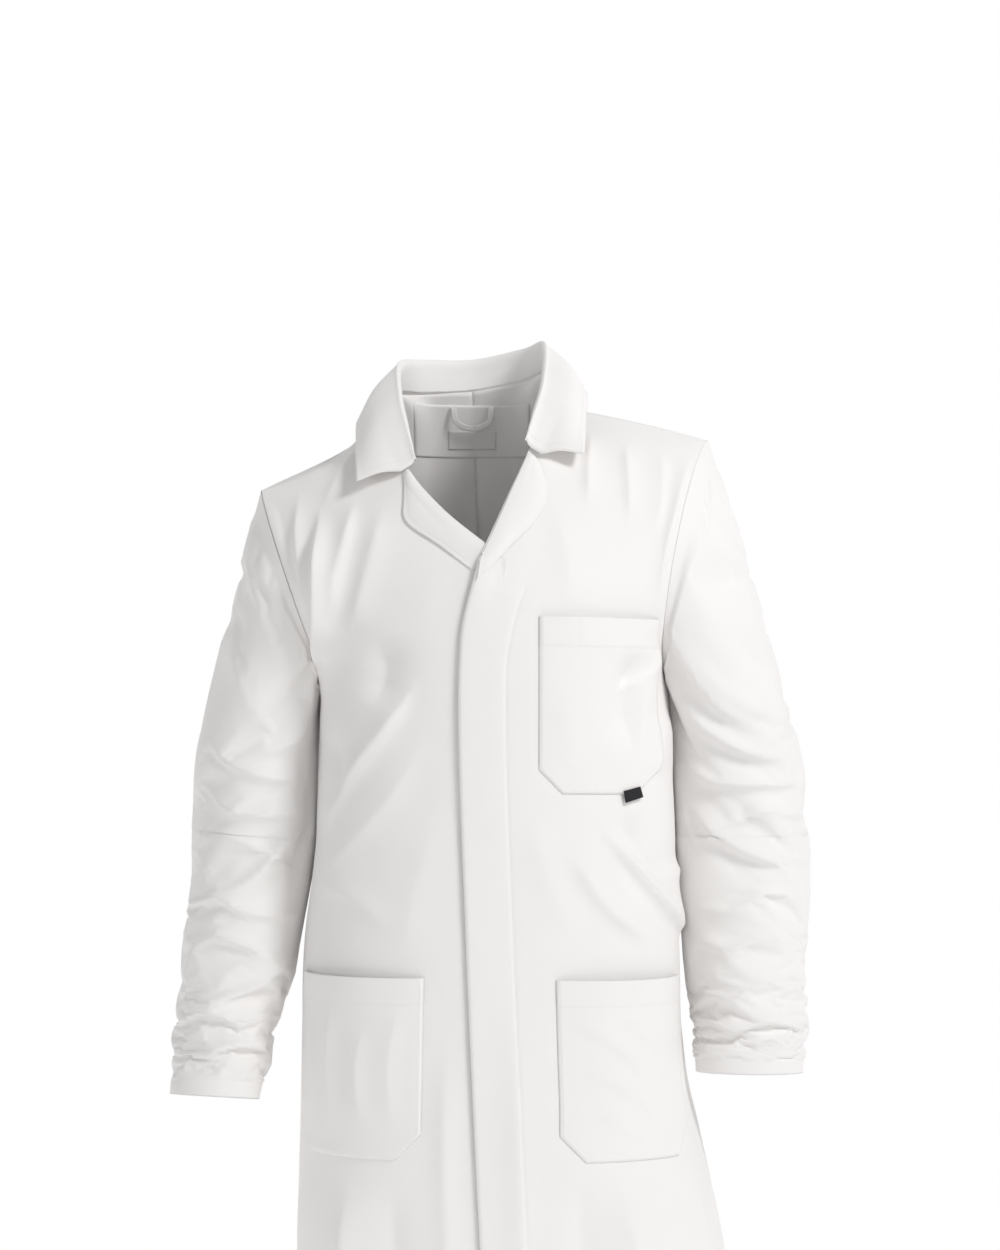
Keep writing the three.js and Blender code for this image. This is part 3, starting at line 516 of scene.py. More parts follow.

# %% [markdown]
# ## Cloth, enamel, nickel and tape
# The coat is an optically whitened polyester-cotton twill: nearly matt, with a fine diagonal weave. Twill is
# a bump of thin slanted ridges in real scale. The studs' caps are white enamel and their other parts nickel.

# %% Shader helpers
def linear(hex_colour):
    """An sRGB hex colour as linear RGBA."""
    part = np.array([int(hex_colour[i:i + 2], 16) for i in (1, 3, 5)]) / 255
    light = np.where(part <= 0.04045, part / 12.92, ((part + 0.055) / 1.055) ** 2.4)
    return (*light.tolist(), 1.0)


def new_node(tree, kind, links=(), **settings):
    """Adds a shader node, sets what is named, and links the given outputs to its inputs."""
    node = tree.nodes.new(kind)
    for name, value in settings.items():
        if hasattr(node, name):
            setattr(node, name, value)
        else:
            node.inputs[name.replace("_", " ")].default_value = value
    for source, target in links:
        tree.links.new(source, node.inputs[target])
    return node


def new_material(name):
    """A material with its node tree and its surface node."""
    material = bpy.data.materials.new(name)
    material.use_nodes = True
    tree = material.node_tree
    return material, tree, tree.nodes["Principled BSDF"]


print("white cloth in linear light:", [round(k, 2) for k in linear("#F3F1EF")[:3]])

# %% [markdown]
# ## Finishes
# An image of a weave would blur up close and repeat from afar, so the weave is worked out: one
# slanted wave and a fine fuzz, both as bumps. Sheen stands for the loose fibres that catch light
# at the edges. The hard pieces need only a colour, a gloss and a little unevenness in it.

# %% Materials
RIDGES_PER_WAVE = 6.283
TWILL_SLANT = math.radians(63)
BUMP_DEPTH = 0.00012


def woven(name, colour, shade, scale=1400.0, strength=0.25):
    """Twill: a slanted wave across the weave, and a slow change of shade over the cloth."""
    material, tree, surface = new_material(name)
    place = new_node(tree, "ShaderNodeTexCoord").outputs["Object"]
    cloud = new_node(tree, "ShaderNodeTexNoise", [(place, "Vector")], Scale=9.0, Detail=3.0)
    tint = new_node(tree, "ShaderNodeMix", data_type="RGBA")
    tint.inputs["A"].default_value = linear(colour)
    tint.inputs["B"].default_value = linear(shade)
    tree.links.new(cloud.outputs["Fac"], tint.inputs["Factor"])
    tree.links.new(tint.outputs["Result"], surface.inputs["Base Color"])
    slanted = new_node(tree, "ShaderNodeMapping", [(place, "Vector")], Rotation=(0, TWILL_SLANT, 0))
    along_weave = [(slanted.outputs["Vector"], "Vector")]
    wave = new_node(tree, "ShaderNodeTexWave", along_weave, Scale=scale / RIDGES_PER_WAVE)
    fuzz = new_node(tree, "ShaderNodeTexNoise", [(place, "Vector")], Scale=2600.0, Detail=2.0)
    both = new_node(tree, "ShaderNodeMath", [(wave.outputs["Fac"], 0), (fuzz.outputs["Fac"], 1)],
                    operation="ADD")
    bump = new_node(tree, "ShaderNodeBump", [(both.outputs["Value"], "Height")],
                    Strength=strength, Distance=BUMP_DEPTH)
    tree.links.new(bump.outputs["Normal"], surface.inputs["Normal"])
    surface.inputs["Roughness"].default_value = 0.72
    surface.inputs["Sheen Weight"].default_value = 0.12
    surface.inputs["Sheen Roughness"].default_value = 0.4
    surface.inputs["Specular IOR Level"].default_value = 0.25
    return material


def plain(name, colour, rough, metal=0.0, coat=0.0):
    """A smooth finish with a trace of unevenness in its roughness."""
    material, tree, surface = new_material(name)
    place = new_node(tree, "ShaderNodeTexCoord").outputs["Object"]
    cloud = new_node(tree, "ShaderNodeTexNoise", [(place, "Vector")], Scale=300.0)
    spread = new_node(tree, "ShaderNodeMapRange", [(cloud.outputs["Fac"], "Value")],
                      To_Min=rough * 0.8, To_Max=rough * 1.2)
    tree.links.new(spread.outputs["Result"], surface.inputs["Roughness"])
    surface.inputs["Base Color"].default_value = linear(colour)
    surface.inputs["Metallic"].default_value = metal
    surface.inputs["Coat Weight"].default_value = coat
    return material


twill = woven("white_twill", "#F3F1EF", "#EFEDEC")
thread = woven("sewing_thread", "#EFEDEA", "#E9E7E4", scale=5000.0, strength=0.4)
tape = woven("white_tape", "#ECEBEA", "#E4E3E2", scale=2200.0, strength=0.5)
black_weave = woven("black_tab_weave", "#1C1C1F", "#2A2A2E", scale=3000.0, strength=0.6)
enamel = plain("white_enamel", "#F2F1EF", 0.25, coat=0.3)
nickel = plain("nickel", "#C9C6BF", 0.25, metal=1.0)
print(len(bpy.data.materials), "finishes")

# %% [markdown]
# ## Making sheets of cloth
# A sheet is a grid of points made into quads, then given the cloth's thickness inwards. Threads
# are rows of short stitches, one small rod for each, laid along a line on the cloth.

# %% Sheets
def mesh_object(name, points, faces, material, smooth_shade=True):
    """A mesh in the scene, from points in metres and lists of corners."""
    mesh = bpy.data.meshes.new(name)
    mesh.from_pydata(np.asarray(points, float).reshape(-1, 3).tolist(), [], faces)
    mesh.update()
    obj = bpy.data.objects.new(name, mesh)
    bpy.context.scene.collection.objects.link(obj)
    mesh.materials.append(material)
    mesh.polygons.foreach_set("use_smooth", [smooth_shade] * len(mesh.polygons))
    return obj


def grid_faces(rows, columns, closed=False, flip=False):
    """Quads between the points of a grid, and round it if it is closed."""
    i = np.arange(columns if closed else columns - 1)
    j = np.arange(rows - 1)[:, None] * columns
    k = (i + 1) % columns
    quads = np.stack([j + i, j + k, j + columns + k, j + columns + i], axis=-1).reshape(-1, 4)
    return (quads[:, ::-1] if flip else quads).tolist()


def cloth(name, points, out, material=None, thick=CLOTH, closed=False):
    """A sheet from a grid of points in millimetres. out is a direction that its face looks to:
    the grid is turned over if its normals look the other way on the whole."""
    grid = to_frame(points)
    rows, columns = grid.shape[:2]
    normal = np.cross(np.diff(grid, axis=1)[:-1], np.diff(grid, axis=0)[:, :-1])
    flip = float((normal * np.asarray(out, float)).sum()) < 0
    obj = mesh_object(name + "_cloth", grid, grid_faces(rows, columns, closed, flip), material or twill)
    solid = obj.modifiers.new("thickness", "SOLIDIFY")
    solid.thickness = thick / 1000
    solid.offset = -1
    return obj


def hangs(obj, area=None):
    """Gives the sheet back as it is. area, its flat size in metres, is not used."""
    return obj


print("cloth is", CLOTH, "mm thick")

# %% [markdown]
# ## Thread
# A machine stitch is a short length of thread on the face, pulled into the cloth at both ends.
# Drawn as one long tube it would look like piping, so each stitch is its own small rod, and the
# cloth under the row has a shallow valley.

# %% Stitches
STITCH_PLACES = np.array([0, 0.15, 0.5, 0.85, 1])
STITCH_RISE = np.array([-0.3, 0.05, 0.12, 0.05, -0.3])
STITCH_SHAPE = np.array([0.45, 0.9, 1, 0.9, 0.45])
CORNERS = 6


def stitches(name, lines, outs, length=2.6, gap=0.6, wide=0.42):
    """Rods of six corners, tapered at both ends, that dip into the cloth between stitches. outs
    are the cloth's outward directions along each line."""
    points, faces, count = [], [], 0
    turn = np.arange(CORNERS) * 2 * np.pi / CORNERS
    sink = STITCH_RISE[:, None, None]
    thin = STITCH_SHAPE[:, None, None] * wide / 2
    rings = len(STITCH_PLACES)
    for line, out in zip(lines, outs):
        run = np.concatenate([[0], np.cumsum(np.linalg.norm(np.diff(line, axis=0), axis=1))])
        starts = np.arange(0, run[-1] - length, length + gap)
        stops = starts[:, None] + length * STITCH_PLACES
        mid = np.stack([np.interp(stops, run, line[:, k]) for k in range(3)], axis=-1)
        up = np.stack([np.interp(stops, run, out[:, k]) for k in range(3)], axis=-1)
        ahead = np.gradient(mid, axis=1)
        across = np.cross(ahead, up)
        across /= np.linalg.norm(across, axis=-1, keepdims=True)
        rise = (sink + thin * np.sin(turn)[None, :, None])[None] * up[:, :, None]
        ring = mid[:, :, None] + rise + (thin * np.cos(turn)[None, :, None])[None] * across[:, :, None]
        each = np.arange(len(stops))[:, None, None] * rings * CORNERS + count
        points.append(ring.reshape(-1, 3))
        faces.append((np.array(grid_faces(rings, CORNERS, closed=True)) + each).reshape(-1, 4))
        count += len(stops) * rings * CORNERS
    obj = mesh_object(name, to_frame(np.concatenate(points)), np.concatenate(faces).tolist(), thread)
    return obj


def grid_normals(points, out):
    """The grid's own outward directions."""
    n = np.cross(np.gradient(points, axis=1), np.gradient(points, axis=0))
    n /= np.maximum(np.linalg.norm(n, axis=-1, keepdims=True), 1e-9)
    return n * np.sign((n * np.asarray(out, float)).sum())


def groove(distance, width=1.1, deep=0.35):
    """The small valley that a row of stitches pulls into the cloth."""
    return -deep * np.exp(-((distance / width) ** 2))


print("a stitch is a rod of", len(STITCH_PLACES) * CORNERS, "points")

# %% [markdown]
# ## Fronts and backs
# Each front is cut wide enough for the button stand to lie under the other front. Its grid has
# close columns at the front edge and at the line of stitches that holds the fly, 48 mm in, so
# that the pressed edge and the stitched line show.

# %% Grids for the panels
LOW_ROWS = 0.74  # the share of the rows that lie below the chest
FRONT_ROWS = 270
STAND_COLUMNS = [0, 0.5, 1.2, 2.2, 4, 7, 11, 16, 21, 26, 31, 36, 40, 43.5, 46, 47.2, 48, 48.8, 50, 52.5,
                 56, 60]
FLY_COLUMN = STAND_COLUMNS.index(FLY_WIDTH)
FAR_SCALE = 400  # about how many millimetres a share of 1 makes past those columns


def rows_of(count):
    """Shares v of a panel's height, closer together above the chest."""
    t = np.linspace(0, 1, count)
    high = lerp(V_CHEST, 1, (t - LOW_ROWS) / (1 - LOW_ROWS))
    return np.where(t < LOW_ROWS, V_CHEST * t / LOW_ROWS, high)


def front_grid(side, rows=FRONT_ROWS, far_columns=84):
    """Shares u for each row: fixed distances from the edge first, then even steps to the seam."""
    near = np.array(STAND_COLUMNS)
    v = rows_of(rows)[:, None] * np.ones(len(near))
    edge = front_edge(side, v)[..., 0]
    direction = SIDES[side]["sign"]
    u_near = share_at_x(side, v, edge + direction * near)
    t = (np.arange(far_columns) + 1) / far_columns
    u_far = lerp(u_near[:, -1:], 1, t)
    u = np.concatenate([u_near, u_far], axis=1)
    beyond = near[-1] + FAR_SCALE * (u_far - u_near[:, -1:])
    distance = np.concatenate([near + 0 * u_near, beyond], axis=1)
    return u, rows_of(rows)[:, None] * np.ones(u.shape[1]), distance


def grid_area(points):
    """The area of a grid of points, in square metres."""
    a, b = np.diff(points, axis=1)[:-1], np.diff(points, axis=0)[:, :-1]
    return float(np.linalg.norm(np.cross(a, b), axis=-1).sum()) / 1e6


def flat_area(side, facing):
    """The plain panel's own area, with its folds pressed out."""
    u, v = np.meshgrid(np.linspace(0, 1, 60), rows_of(90))
    return grid_area(panel(side, facing, u, v))


print("front and back areas:", [round(flat_area(s, f), 3) for s in SIDES for f in (1, -1)], "square metres")

# %% [markdown]
# ## Where the left front folds back
# Unfastened, the left front's edge turns back about a nearly upright line through its fly. A hard cut would
# tear the cloth there. The pieces that cross the line are baked in place as they are and do not bend.


def with_opening(obj):
    """Bakes the piece's place into its points; it does not bend the piece."""
    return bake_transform(obj)


# %% [markdown]
# ## Cutting the panels
# The left front's edge is pressed over the fly and so rolls in a little, and the row of stitches
# that holds the fly pulls a valley. The hem is turned up 29 mm. All of this is a lift along the
# cloth's outward direction, added to the folds.

# %% Fronts
PANEL_FLAT = (0.36, 1.08)
LEAST_SHARE = 0.31  # a panel's area is never said to be less than this share of its flat sizes
FLY_PUFF, EDGE_ROLL = 0.8, 2.6
HEM_DEPTH, HEM_LINE, HEM_RISE = 30, 0.97, 0.5
HEM_STITCH = 29  # how far above the hem its row of stitches runs


def panel_area(side, facing):
    return max(flat_area(side, facing), LEAST_SHARE * PANEL_FLAT[0] * PANEL_FLAT[1])


def add_front(side):
    """A front with its pressed edge, its fly's stitched line and its turned-up hem."""
    u, v, distance = front_grid(side)
    lift = np.zeros_like(u)
    if side == "left":
        under_break = smooth(V_BREAK - v, 0, 0.02)
        puff = FLY_PUFF * smooth(FLY_WIDTH - distance, 0, 4) * under_break
        roll_over = -EDGE_ROLL * np.exp(-((distance / 1.4) ** 1.5)) * under_break
        lift = puff + roll_over + groove(distance - FLY_WIDTH, 1.3, 0.55) * under_break
    points = draped(side, 1, u, v, lift)
    hem = np.clip((points[..., 2] - HEM_Z) / HEM_DEPTH, 0, 1)
    turned_up = HEM_RISE * (1 - smooth(hem, 0.9, 1)) + groove((hem - HEM_LINE) * HEM_DEPTH)
    points = points + normals(side, 1, u, v) * turned_up[..., None]
    obj = cloth(f"{side}_front", points, (0, -1, 0))
    hangs(obj, area=panel_area(side, 1))
    return obj, points


left_front, left_front_points = add_front("left")
with_opening(left_front)
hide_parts("front_left", "front_left_opening_edge")
right_front, right_front_points = add_front("right")
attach(right_front, "body")
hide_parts("front_right")
print("each front is a grid of", left_front_points.shape[:2], "points")

# %% [markdown]
# ## The backs
# Two backs meet at a seam down the middle. It is pressed open, so it shows as a shallow step,
# and a row of stitches lies 6 mm beside it.

# %% Backs
BACK_WIDTH = 260  # millimetres from the centre-back seam to the side seam
SEAM_STITCH = 6


def add_back(side):
    """A back with its centre seam pressed down and a row of stitches beside it."""
    u, v = np.meshgrid(np.linspace(0, 1, 90), rows_of(220))
    arc = u * BACK_WIDTH
    lift = groove(arc - SEAM_STITCH, 1.6, 0.4) - 0.5 * np.exp(-((arc / 1.2) ** 2))
    points = draped(side, -1, u, v, lift * smooth(u, 0, 0.001))
    obj = cloth(f"{side}_back", points, (0, 1, 0))
    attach(obj, "body")
    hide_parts(f"back_{side}")
    return hangs(obj, area=panel_area(side, -1))


for side in ("left", "right"):
    print(add_back(side).name)

# %% [markdown]
# ## What lies behind the front edges
# The fly is a second layer stitched 48 mm behind the left edge, and hides the studs. The right
# front has a facing of its own. Both follow the folded front that they are sewn to.

# %% Fly and facing
FLY_DEPTH, FACING_DEPTH = 2.4, 1.9
FACING_TOP = -222
STRIP_INSET = 3


def strip(side, x_end, z_top, depth, rows=220, columns=26):
    """A band behind a front between two widths from its edge line, at one depth in y."""
    z = np.linspace(HEM_Z + 2, z_top, rows)[:, None] * np.ones(columns)
    x = along(EDGE_X, z) + np.linspace(STRIP_INSET, x_end, columns)
    v = height_share(z)
    points = draped(side, 1, share_at_x(side, v, x), v)
    points[..., 1] += depth
    return points


fly_points = strip("left", FLY_WIDTH, LEFT_FOLD[0][1] - STRIP_INSET, FLY_DEPTH)
left_fly = cloth("left_fly", fly_points, (0, -1, 0))
with_opening(left_fly)
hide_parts("left_fly")
hangs(left_fly)
right_facing = cloth("right_facing", strip("right", OVERLAP - 2, FACING_TOP, FACING_DEPTH), (0, 1, 0))
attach(right_facing, "body")
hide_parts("right_facing")
hangs(right_facing)
print("the fly hangs", FLY_DEPTH, "mm behind the front")

# %% [markdown]
# ## Patch pockets
# A patch pocket is sewn on three sides with its lower corners cut off, and its mouth is a deep
# turned band that gapes a little. Rows of stitches run 2 mm in from the sewn edges and along the
# band. The breast pocket has one more short row that makes a place for a pen.

# %% A pocket's shape
BREAST = {"x": 69, "z": -241, "width": 124, "depth": 178, "chamfer": 24, "gape": 4.5, "band": 31}
LOWER = {"z": -602, "width": 168, "depth": 184, "chamfer": 27, "gape": 7, "band": 28}
POCKET_LIFT, BAND_RISE, EDGE_DIP = 2.3, 0.5, 1.5
EDGE_STITCH, BAND_STITCH = 2.2, 1.6  # how far in from an edge, and from the band's edge


def cut_in(down, pocket):
    """How far the cut-off corners narrow the pocket at a share of its depth."""
    return np.maximum(0, (down - 1) * pocket["depth"] + pocket["chamfer"]) / pocket["width"]


def pocket_lift(a, down, pocket):
    """The pocket stands off most in the middle of its mouth; its stitched edges lie down."""
    cut = cut_in(down, pocket)
    s = np.clip((a - cut) / (1 - 2 * cut), 0, 1)
    t = 1 - down
    gape = pocket["gape"] * np.sin(np.pi * s) ** 0.8 * t**0.9 * np.minimum(1, 6 * t)
    across, deep = pocket["width"], pocket["depth"]
    side = np.minimum(s, 1 - s) * across * (1 - 2 * cut)
    edge = np.minimum(side, t * deep)
    band = smooth(pocket["band"] - down * deep, 0, 0.8)
    pull = groove(edge - EDGE_STITCH, 1.0, 0.4)
    pull = pull + groove(down * deep - pocket["band"] + BAND_STITCH, 1.0, 0.4)
    lie = -EDGE_DIP * np.exp(-((edge / 1.5) ** 2))
    return POCKET_LIFT + gape + BAND_RISE * band + pull + lie


print("a lower pocket gapes", LOWER["gape"], "mm at its mouth")

# %% [markdown]
# ## Where the pockets go
# The breast pocket is placed as it is seen from the front. A lower pocket runs round the hip, so
# it is laid out by its own length along each row, as a tape measure would lie.

# %% Placing pockets
WALK_STEPS, WALK_SHARE = 16, 0.004


def breast_place(a, down, pocket):
    """Shares u, v of the breast pocket's points. It tips down 3 mm towards the side."""
    x = pocket["x"] + a * pocket["width"]
    return locate("left", 1, x, pocket["z"] - down * pocket["depth"] - 3 * a)


def lower_place(side):
    """Lower pockets start at a width on the front and run round it by their own length."""
    def place(a, down, pocket):
        z = pocket["z"] - down * pocket["depth"]
        v = height_share(z)
        u = share_at_x(side, v, pocket["start"] + SIDES[side]["sign"] * 4 * down)
        for _ in range(WALK_STEPS):
            ahead = panel(side, 1, np.minimum(1, u + WALK_SHARE), v)
            run = np.linalg.norm(ahead - panel(side, 1, u, v), axis=-1)
            u = np.minimum(0.985, u + WALK_SHARE * a * pocket["width"] / WALK_STEPS / run)
        return u, v
    return place


print("a lower pocket is laid out in", WALK_STEPS, "steps")

# %% [markdown]
# ## Sewing the pockets on
# Each pocket follows the folds of the front under it and adds gentler folds of its own, because
# two layers are stiffer than one. Those own folds are drawn in the pocket's flat width and depth.

# %% Pockets
CUT_CORNERS_SHARE = 0.97  # what the cut-off corners leave of a pocket's area


def add_pocket(name, side, place, pocket, own_folds, columns=96, rows=104):
    """The pocket follows the folds of the front under it, and has gentler ones of its own."""
    t = np.linspace(0, 1, rows)[:, None] * np.ones(columns)
    down = 1 - t
    cut = cut_in(down, pocket)
    a = lerp(cut, 1 - cut, np.linspace(0, 1, columns))
    u, v = place(a, down, pocket)
    base = panel(side, 1, u, v)
    flat = np.stack([a * pocket["width"], -down * pocket["depth"]], axis=-1)
    own = folds(flat, own_folds) * np.minimum(1, 8 * np.minimum(a, 1 - a)) * np.minimum(1, 8 * t)
    rise = lift_of(base, 1) + pocket_lift(a, down, pocket) + np.maximum(own, -4)
    points = base + normals(side, 1, u, v) * rise[..., None]
    obj = cloth(name, points, (0, -1, 0))
    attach(obj, "body")
    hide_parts(name)
    wide, deep = pocket["width"] / 1000, pocket["depth"] / 1000
    hangs(obj, area=CUT_CORNERS_SHARE * wide * deep)
    return points


BREAST_OWN = [
    ([(96, -30), (88, -90), (92, -140)], 15, -3.5, 0.1),
    ([(120, -55), (108, -95), (96, -150)], 8, 3, 0.3),
    ([(20, -60), (30, -120), (34, -160)], 16, 1.2, 0.1),
]
LOWER_OWN = {
    "left": [
        ([(12, -40), (60, -66), (120, -120)], 10, 2.2, 0.3),
        ([(20, -90), (70, -110), (130, -160)], 11, 2.4, 0.3),
        ([(60, -34), (100, -60), (150, -80)], 9, 2.0, 0.3),
        ([(30, -130), (70, -150), (110, -176)], 10, 1.6, 0.2),
    ],
    "right": [
        ([(24, -20), (34, -90), (30, -160)], 12, 2.0, 0.2),
        ([(60, -40), (70, -100), (62, -160)], 13, 2.6, 0.2),
        ([(100, -20), (108, -90), (100, -170)], 12, 2.6, 0.2),
        ([(140, -30), (132, -90), (140, -160)], 11, 2.0, 0.2),
    ],
}
LOWER_START = {"left": 86, "right": -46}
breast_points = add_pocket("breast_pocket", "left", breast_place, BREAST, BREAST_OWN)
lower_points = {}
for side, start in LOWER_START.items():
    own_pocket = {**LOWER, "start": start}
    lower_points[side] = add_pocket(
        f"lower_pocket_{side}", side, lower_place(side), own_pocket, LOWER_OWN[side])
print("pocket points:", breast_points.shape, lower_points["left"].shape)

# %% [markdown]
# ## The pocket's tab
# A small black tab of ribbon, left blank, is caught in the stitching at the breast pocket's lower
# edge. It is a patch between four corners, laid just above the pocket.

# %% Pocket tab
TAB_CORNERS = np.array([[155, -430], [173, -425], [170, -414], [153, -418]], float)
TAB_LIFT = 4.2
along_tab, up_tab = np.meshgrid(np.linspace(0, 1, 14), np.linspace(0, 1, 9))
low_side = lerp(TAB_CORNERS[0], TAB_CORNERS[1], along_tab[..., None])
high_side = lerp(TAB_CORNERS[3], TAB_CORNERS[2], along_tab[..., None])
tab_place = lerp(low_side, high_side, up_tab[..., None])
tab_u, tab_v = locate("left", 1, tab_place[..., 0], tab_place[..., 1])
tab_points = draped("left", 1, tab_u, tab_v, TAB_LIFT)
pocket_tab = cloth("pocket_tab", tab_points, (0, -1, 0), black_weave)
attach(pocket_tab, "body")
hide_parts("pocket_tab")
print("the tab is", float(np.linalg.norm(TAB_CORNERS[1] - TAB_CORNERS[0]).round(1)), "mm long")

# %% [markdown]
# ## The collar's section
# The collar is a band that stands up round the neck, folds over and falls as a leaf. Its
# section is a curve through seven points at each place round the neck. Three lines in space
# guide it: the neck seam, the top of the fold and the leaf's edge.

# %% A section of the collar
NECKLINE = [SIDES["right"]["collar_end"], SIDES["right"]["neck"], (-52, 58, -4), tuple(NAPE), (53, 58, 9),
            SIDES["left"]["neck"], SIDES["left"]["collar_end"]]
COLLAR_FOLD = [(-63, -86, -76), (-76, -22, -3), (-76, 12, 22), (-55, 63, 29), (0, 84, 31), (56, 63, 41),
               (77, 12, 43), (76, -22, 5), (62, -86, -52)]
LEAF_EDGE = [(-117, -92, -104), (-120, -40, -64), (-119, -2, -34), (-88, 74, -24), (0, 114, -12),
             (88, 74, -2), (120, -2, -4), (120, -40, -36), (116, -92, -76)]
FOLD_RADIUS = 4.2
END_REACH, TAPER_REACH = 0.09, 0.07  # the shares of the collar's length that its ends shape
END_DROP = {"right": np.array([15.0, -1.0, -15.0]), "left": np.array([-13.0, -1.0, -24.0])}


def collar_section(w, count):
    """One section of the collar: up the stand, over the fold, down to the leaf's edge."""
    base = spline(NECKLINE, np.array([w]))[0] + (0, 0, 0.8)
    over = spline(COLLAR_FOLD, np.array([w]))[0]
    leaf = spline(LEAF_EDGE, np.array([w]))[0]
    out = (leaf - over) * (1, 1, 0)
    out = out / np.linalg.norm(out)
    right_end = END_DROP["right"] * max(0, 1 - w / END_REACH) ** 1.5
    left_end = END_DROP["left"] * max(0, 1 - (1 - w) / END_REACH) ** 1.5
    end = right_end + left_end
    radius = FOLD_RADIUS * lerp(0.35, 1, float(smooth(min(w, 1 - w), 0, TAPER_REACH)))
    over = over + end * 0.45
    inner, outer = over - out * radius, over + out * radius
    middle = (outer + leaf) / 2 + out * 3 + (0, 0, 4) - end * 0.2
    points = [base, lerp(base, inner, 0.55), inner, over + (0, 0, radius), outer, middle, leaf]
    c = np.linspace(0.01, 1, count)
    share = np.clip((c - 4 / 6) * 3, 0, 1)[:, None]
    corner = np.minimum(share / 0.35, (1 - share) / 0.65)
    return spline(points, c) + corner * end * 0.7


print("the fold stands", COLLAR_FOLD[4][2] + FOLD_RADIUS, "mm above the nape")

# %% [markdown]
# ## Two layers of collar
# The under collar is cut a little smaller and lies 1.7 mm inside the top collar, so that the
# seam between them rolls out of sight. A row of stitches 5 mm in from the edge holds both.

# %% Collar
COLLAR_ROWS, COLLAR_COLUMNS = 64, 150
COLUMN_STEP, ROW_REACH = 3.2, 100  # millimetres between columns, and from the neck to the leaf's edge
COLLAR_STITCH, UNDER_COLLAR_DEPTH = 5, 1.7
TOP_TRIM, UNDER_TRIM = 0.002, 0.01
DOUBLE_CLOTH = 0.9


def collar_layer(lift, trim):
    """The section carried round the neck, lifted inwards by a depth, its ends trimmed."""
    around = np.linspace(trim, 1 - trim, COLLAR_COLUMNS)
    points = np.stack([collar_section(w, COLLAR_ROWS) for w in around], axis=1)
    n = np.cross(np.gradient(points, axis=1), np.gradient(points, axis=0))
    n /= np.linalg.norm(n, axis=-1, keepdims=True)
    return points - n * np.asarray(lift)[..., None]


column = np.arange(COLLAR_COLUMNS)
to_edge = (1 - np.linspace(0, 1, COLLAR_ROWS)[:, None] * np.ones(COLLAR_COLUMNS)) * ROW_REACH
to_end = np.minimum(column, column[::-1])[None, :] * COLUMN_STEP + 0 * to_edge
edge_gap = np.minimum(to_edge, to_end)
collar_lift = -groove(edge_gap - COLLAR_STITCH, 1.6, 0.3)
collar_lift = collar_lift + 0.35 * ripple(np.stack([to_end, to_edge], -1), 30, 5)
top_points = collar_layer(collar_lift, TOP_TRIM)
top_collar = cloth("top_collar", top_points, (0, 0, 1), thick=DOUBLE_CLOTH)
under_points = collar_layer(np.full((COLLAR_ROWS, COLLAR_COLUMNS), UNDER_COLLAR_DEPTH), UNDER_TRIM)
under_collar = cloth("under_collar", under_points, (0, 0, 1))
for piece in (top_collar, under_collar):
    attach(piece, "body")
    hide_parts(piece.name.removesuffix("_cloth"))
    hangs(piece)
print("collar grid:", top_points.shape[:2])

# %% [markdown]
# ## Lapels
# A lapel is the top of a front, turned out along the roll line to show its facing. It lies on
# the front and lifts from it in the middle. It is drawn from the roll line to its free edge, and
# each point is found again on the front, so that it follows the front's folds.

# %% Lapels
LAPEL_ROWS, LAPEL_COLUMNS = 60, 30
ROLL_LOW, ROLL_HIGH = V_BREAK + 0.005, 0.9
LAPEL_FLAT = (0.062, 0.125)
LAPELS = {
    "right": [(-67, -92), (-67, -122), (-66, -144), (-30, -171), (3, -196)],
    "left": [(70, -84), (78, -118), (68, -142), (40, -172), (6, -206)],
}


def add_lapel(side):
    """From the roll line to the free edge, lying on the front, which it lifts from in the middle."""
    s, t = np.meshgrid(np.linspace(0, 1, LAPEL_COLUMNS), np.linspace(0, 1, LAPEL_ROWS))
    roll = front_edge(side, lerp(ROLL_LOW, ROLL_HIGH, 1 - t))
    free = spline([(x, z, 0) for x, z in LAPELS[side]], t)
    x = lerp(roll[..., 0] + SIDES[side]["sign"] * 0.5, free[..., 0], s)
    z = lerp(roll[..., 2], free[..., 1], s)
    u, v = locate(side, 1, x, z)
    edge = np.minimum(1 - s, np.minimum(t, 1 - t) * 2.5) * 40
    lift = 1.1 + (2.3 * np.sin(np.pi * s) + 0.9) * smooth(1 - t, 0, 0.3) + groove(edge - 5, 1.4, 0.3)
    if side == "left":
        lift = lift + FLY_PUFF * smooth(-z, 172, 186)
    points = draped(side, 1, u, v, lift)
    obj = cloth(f"{side}_lapel", points, (0, -1, 0), thick=DOUBLE_CLOTH)
    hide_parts(f"lapel_{side}")
    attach(obj, "body")
    least = LEAST_SHARE * LAPEL_FLAT[0] * LAPEL_FLAT[1]
    return hangs(obj, area=max(grid_area(points), least))


for side in SIDES:
    print(add_lapel(side).name)

# %% [markdown]
# ## Inside the neck
# The back neck is faced with a second layer, with a blank woven label and a loop to hang the
# coat by, a tape whose two ends are caught in the neck seam.

# %% Neck facing and label
def on_back(x, z, lift):
    """Points at a width and height on the plain backs, lifted off them."""
    x, z = np.broadcast_arrays(np.asarray(x, float), np.asarray(z, float))
    out = np.zeros((*x.shape, 3))
    for side in SIDES:
        here = (x < 0) == (side == "right")
        if here.any():
            u, v = locate(side, -1, x[here], z[here])
            off = np.broadcast_to(lift, x.shape)[here][:, None]
            out[here] = panel(side, -1, u, v) + normals(side, -1, u, v) * off
    return out


def back_patch(name, half, z_top, z_low, lift, material, columns=40, rows=24):
    """A level patch inside the backs, of a half width, between two heights."""
    x, z = np.meshgrid(np.linspace(-half, half, columns), np.linspace(z_low, z_top, rows))
    obj = cloth(name, on_back(x, z, -lift), (0, -1, 0), material)
    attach(obj, "body")
    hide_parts(name)
    return hangs(obj)


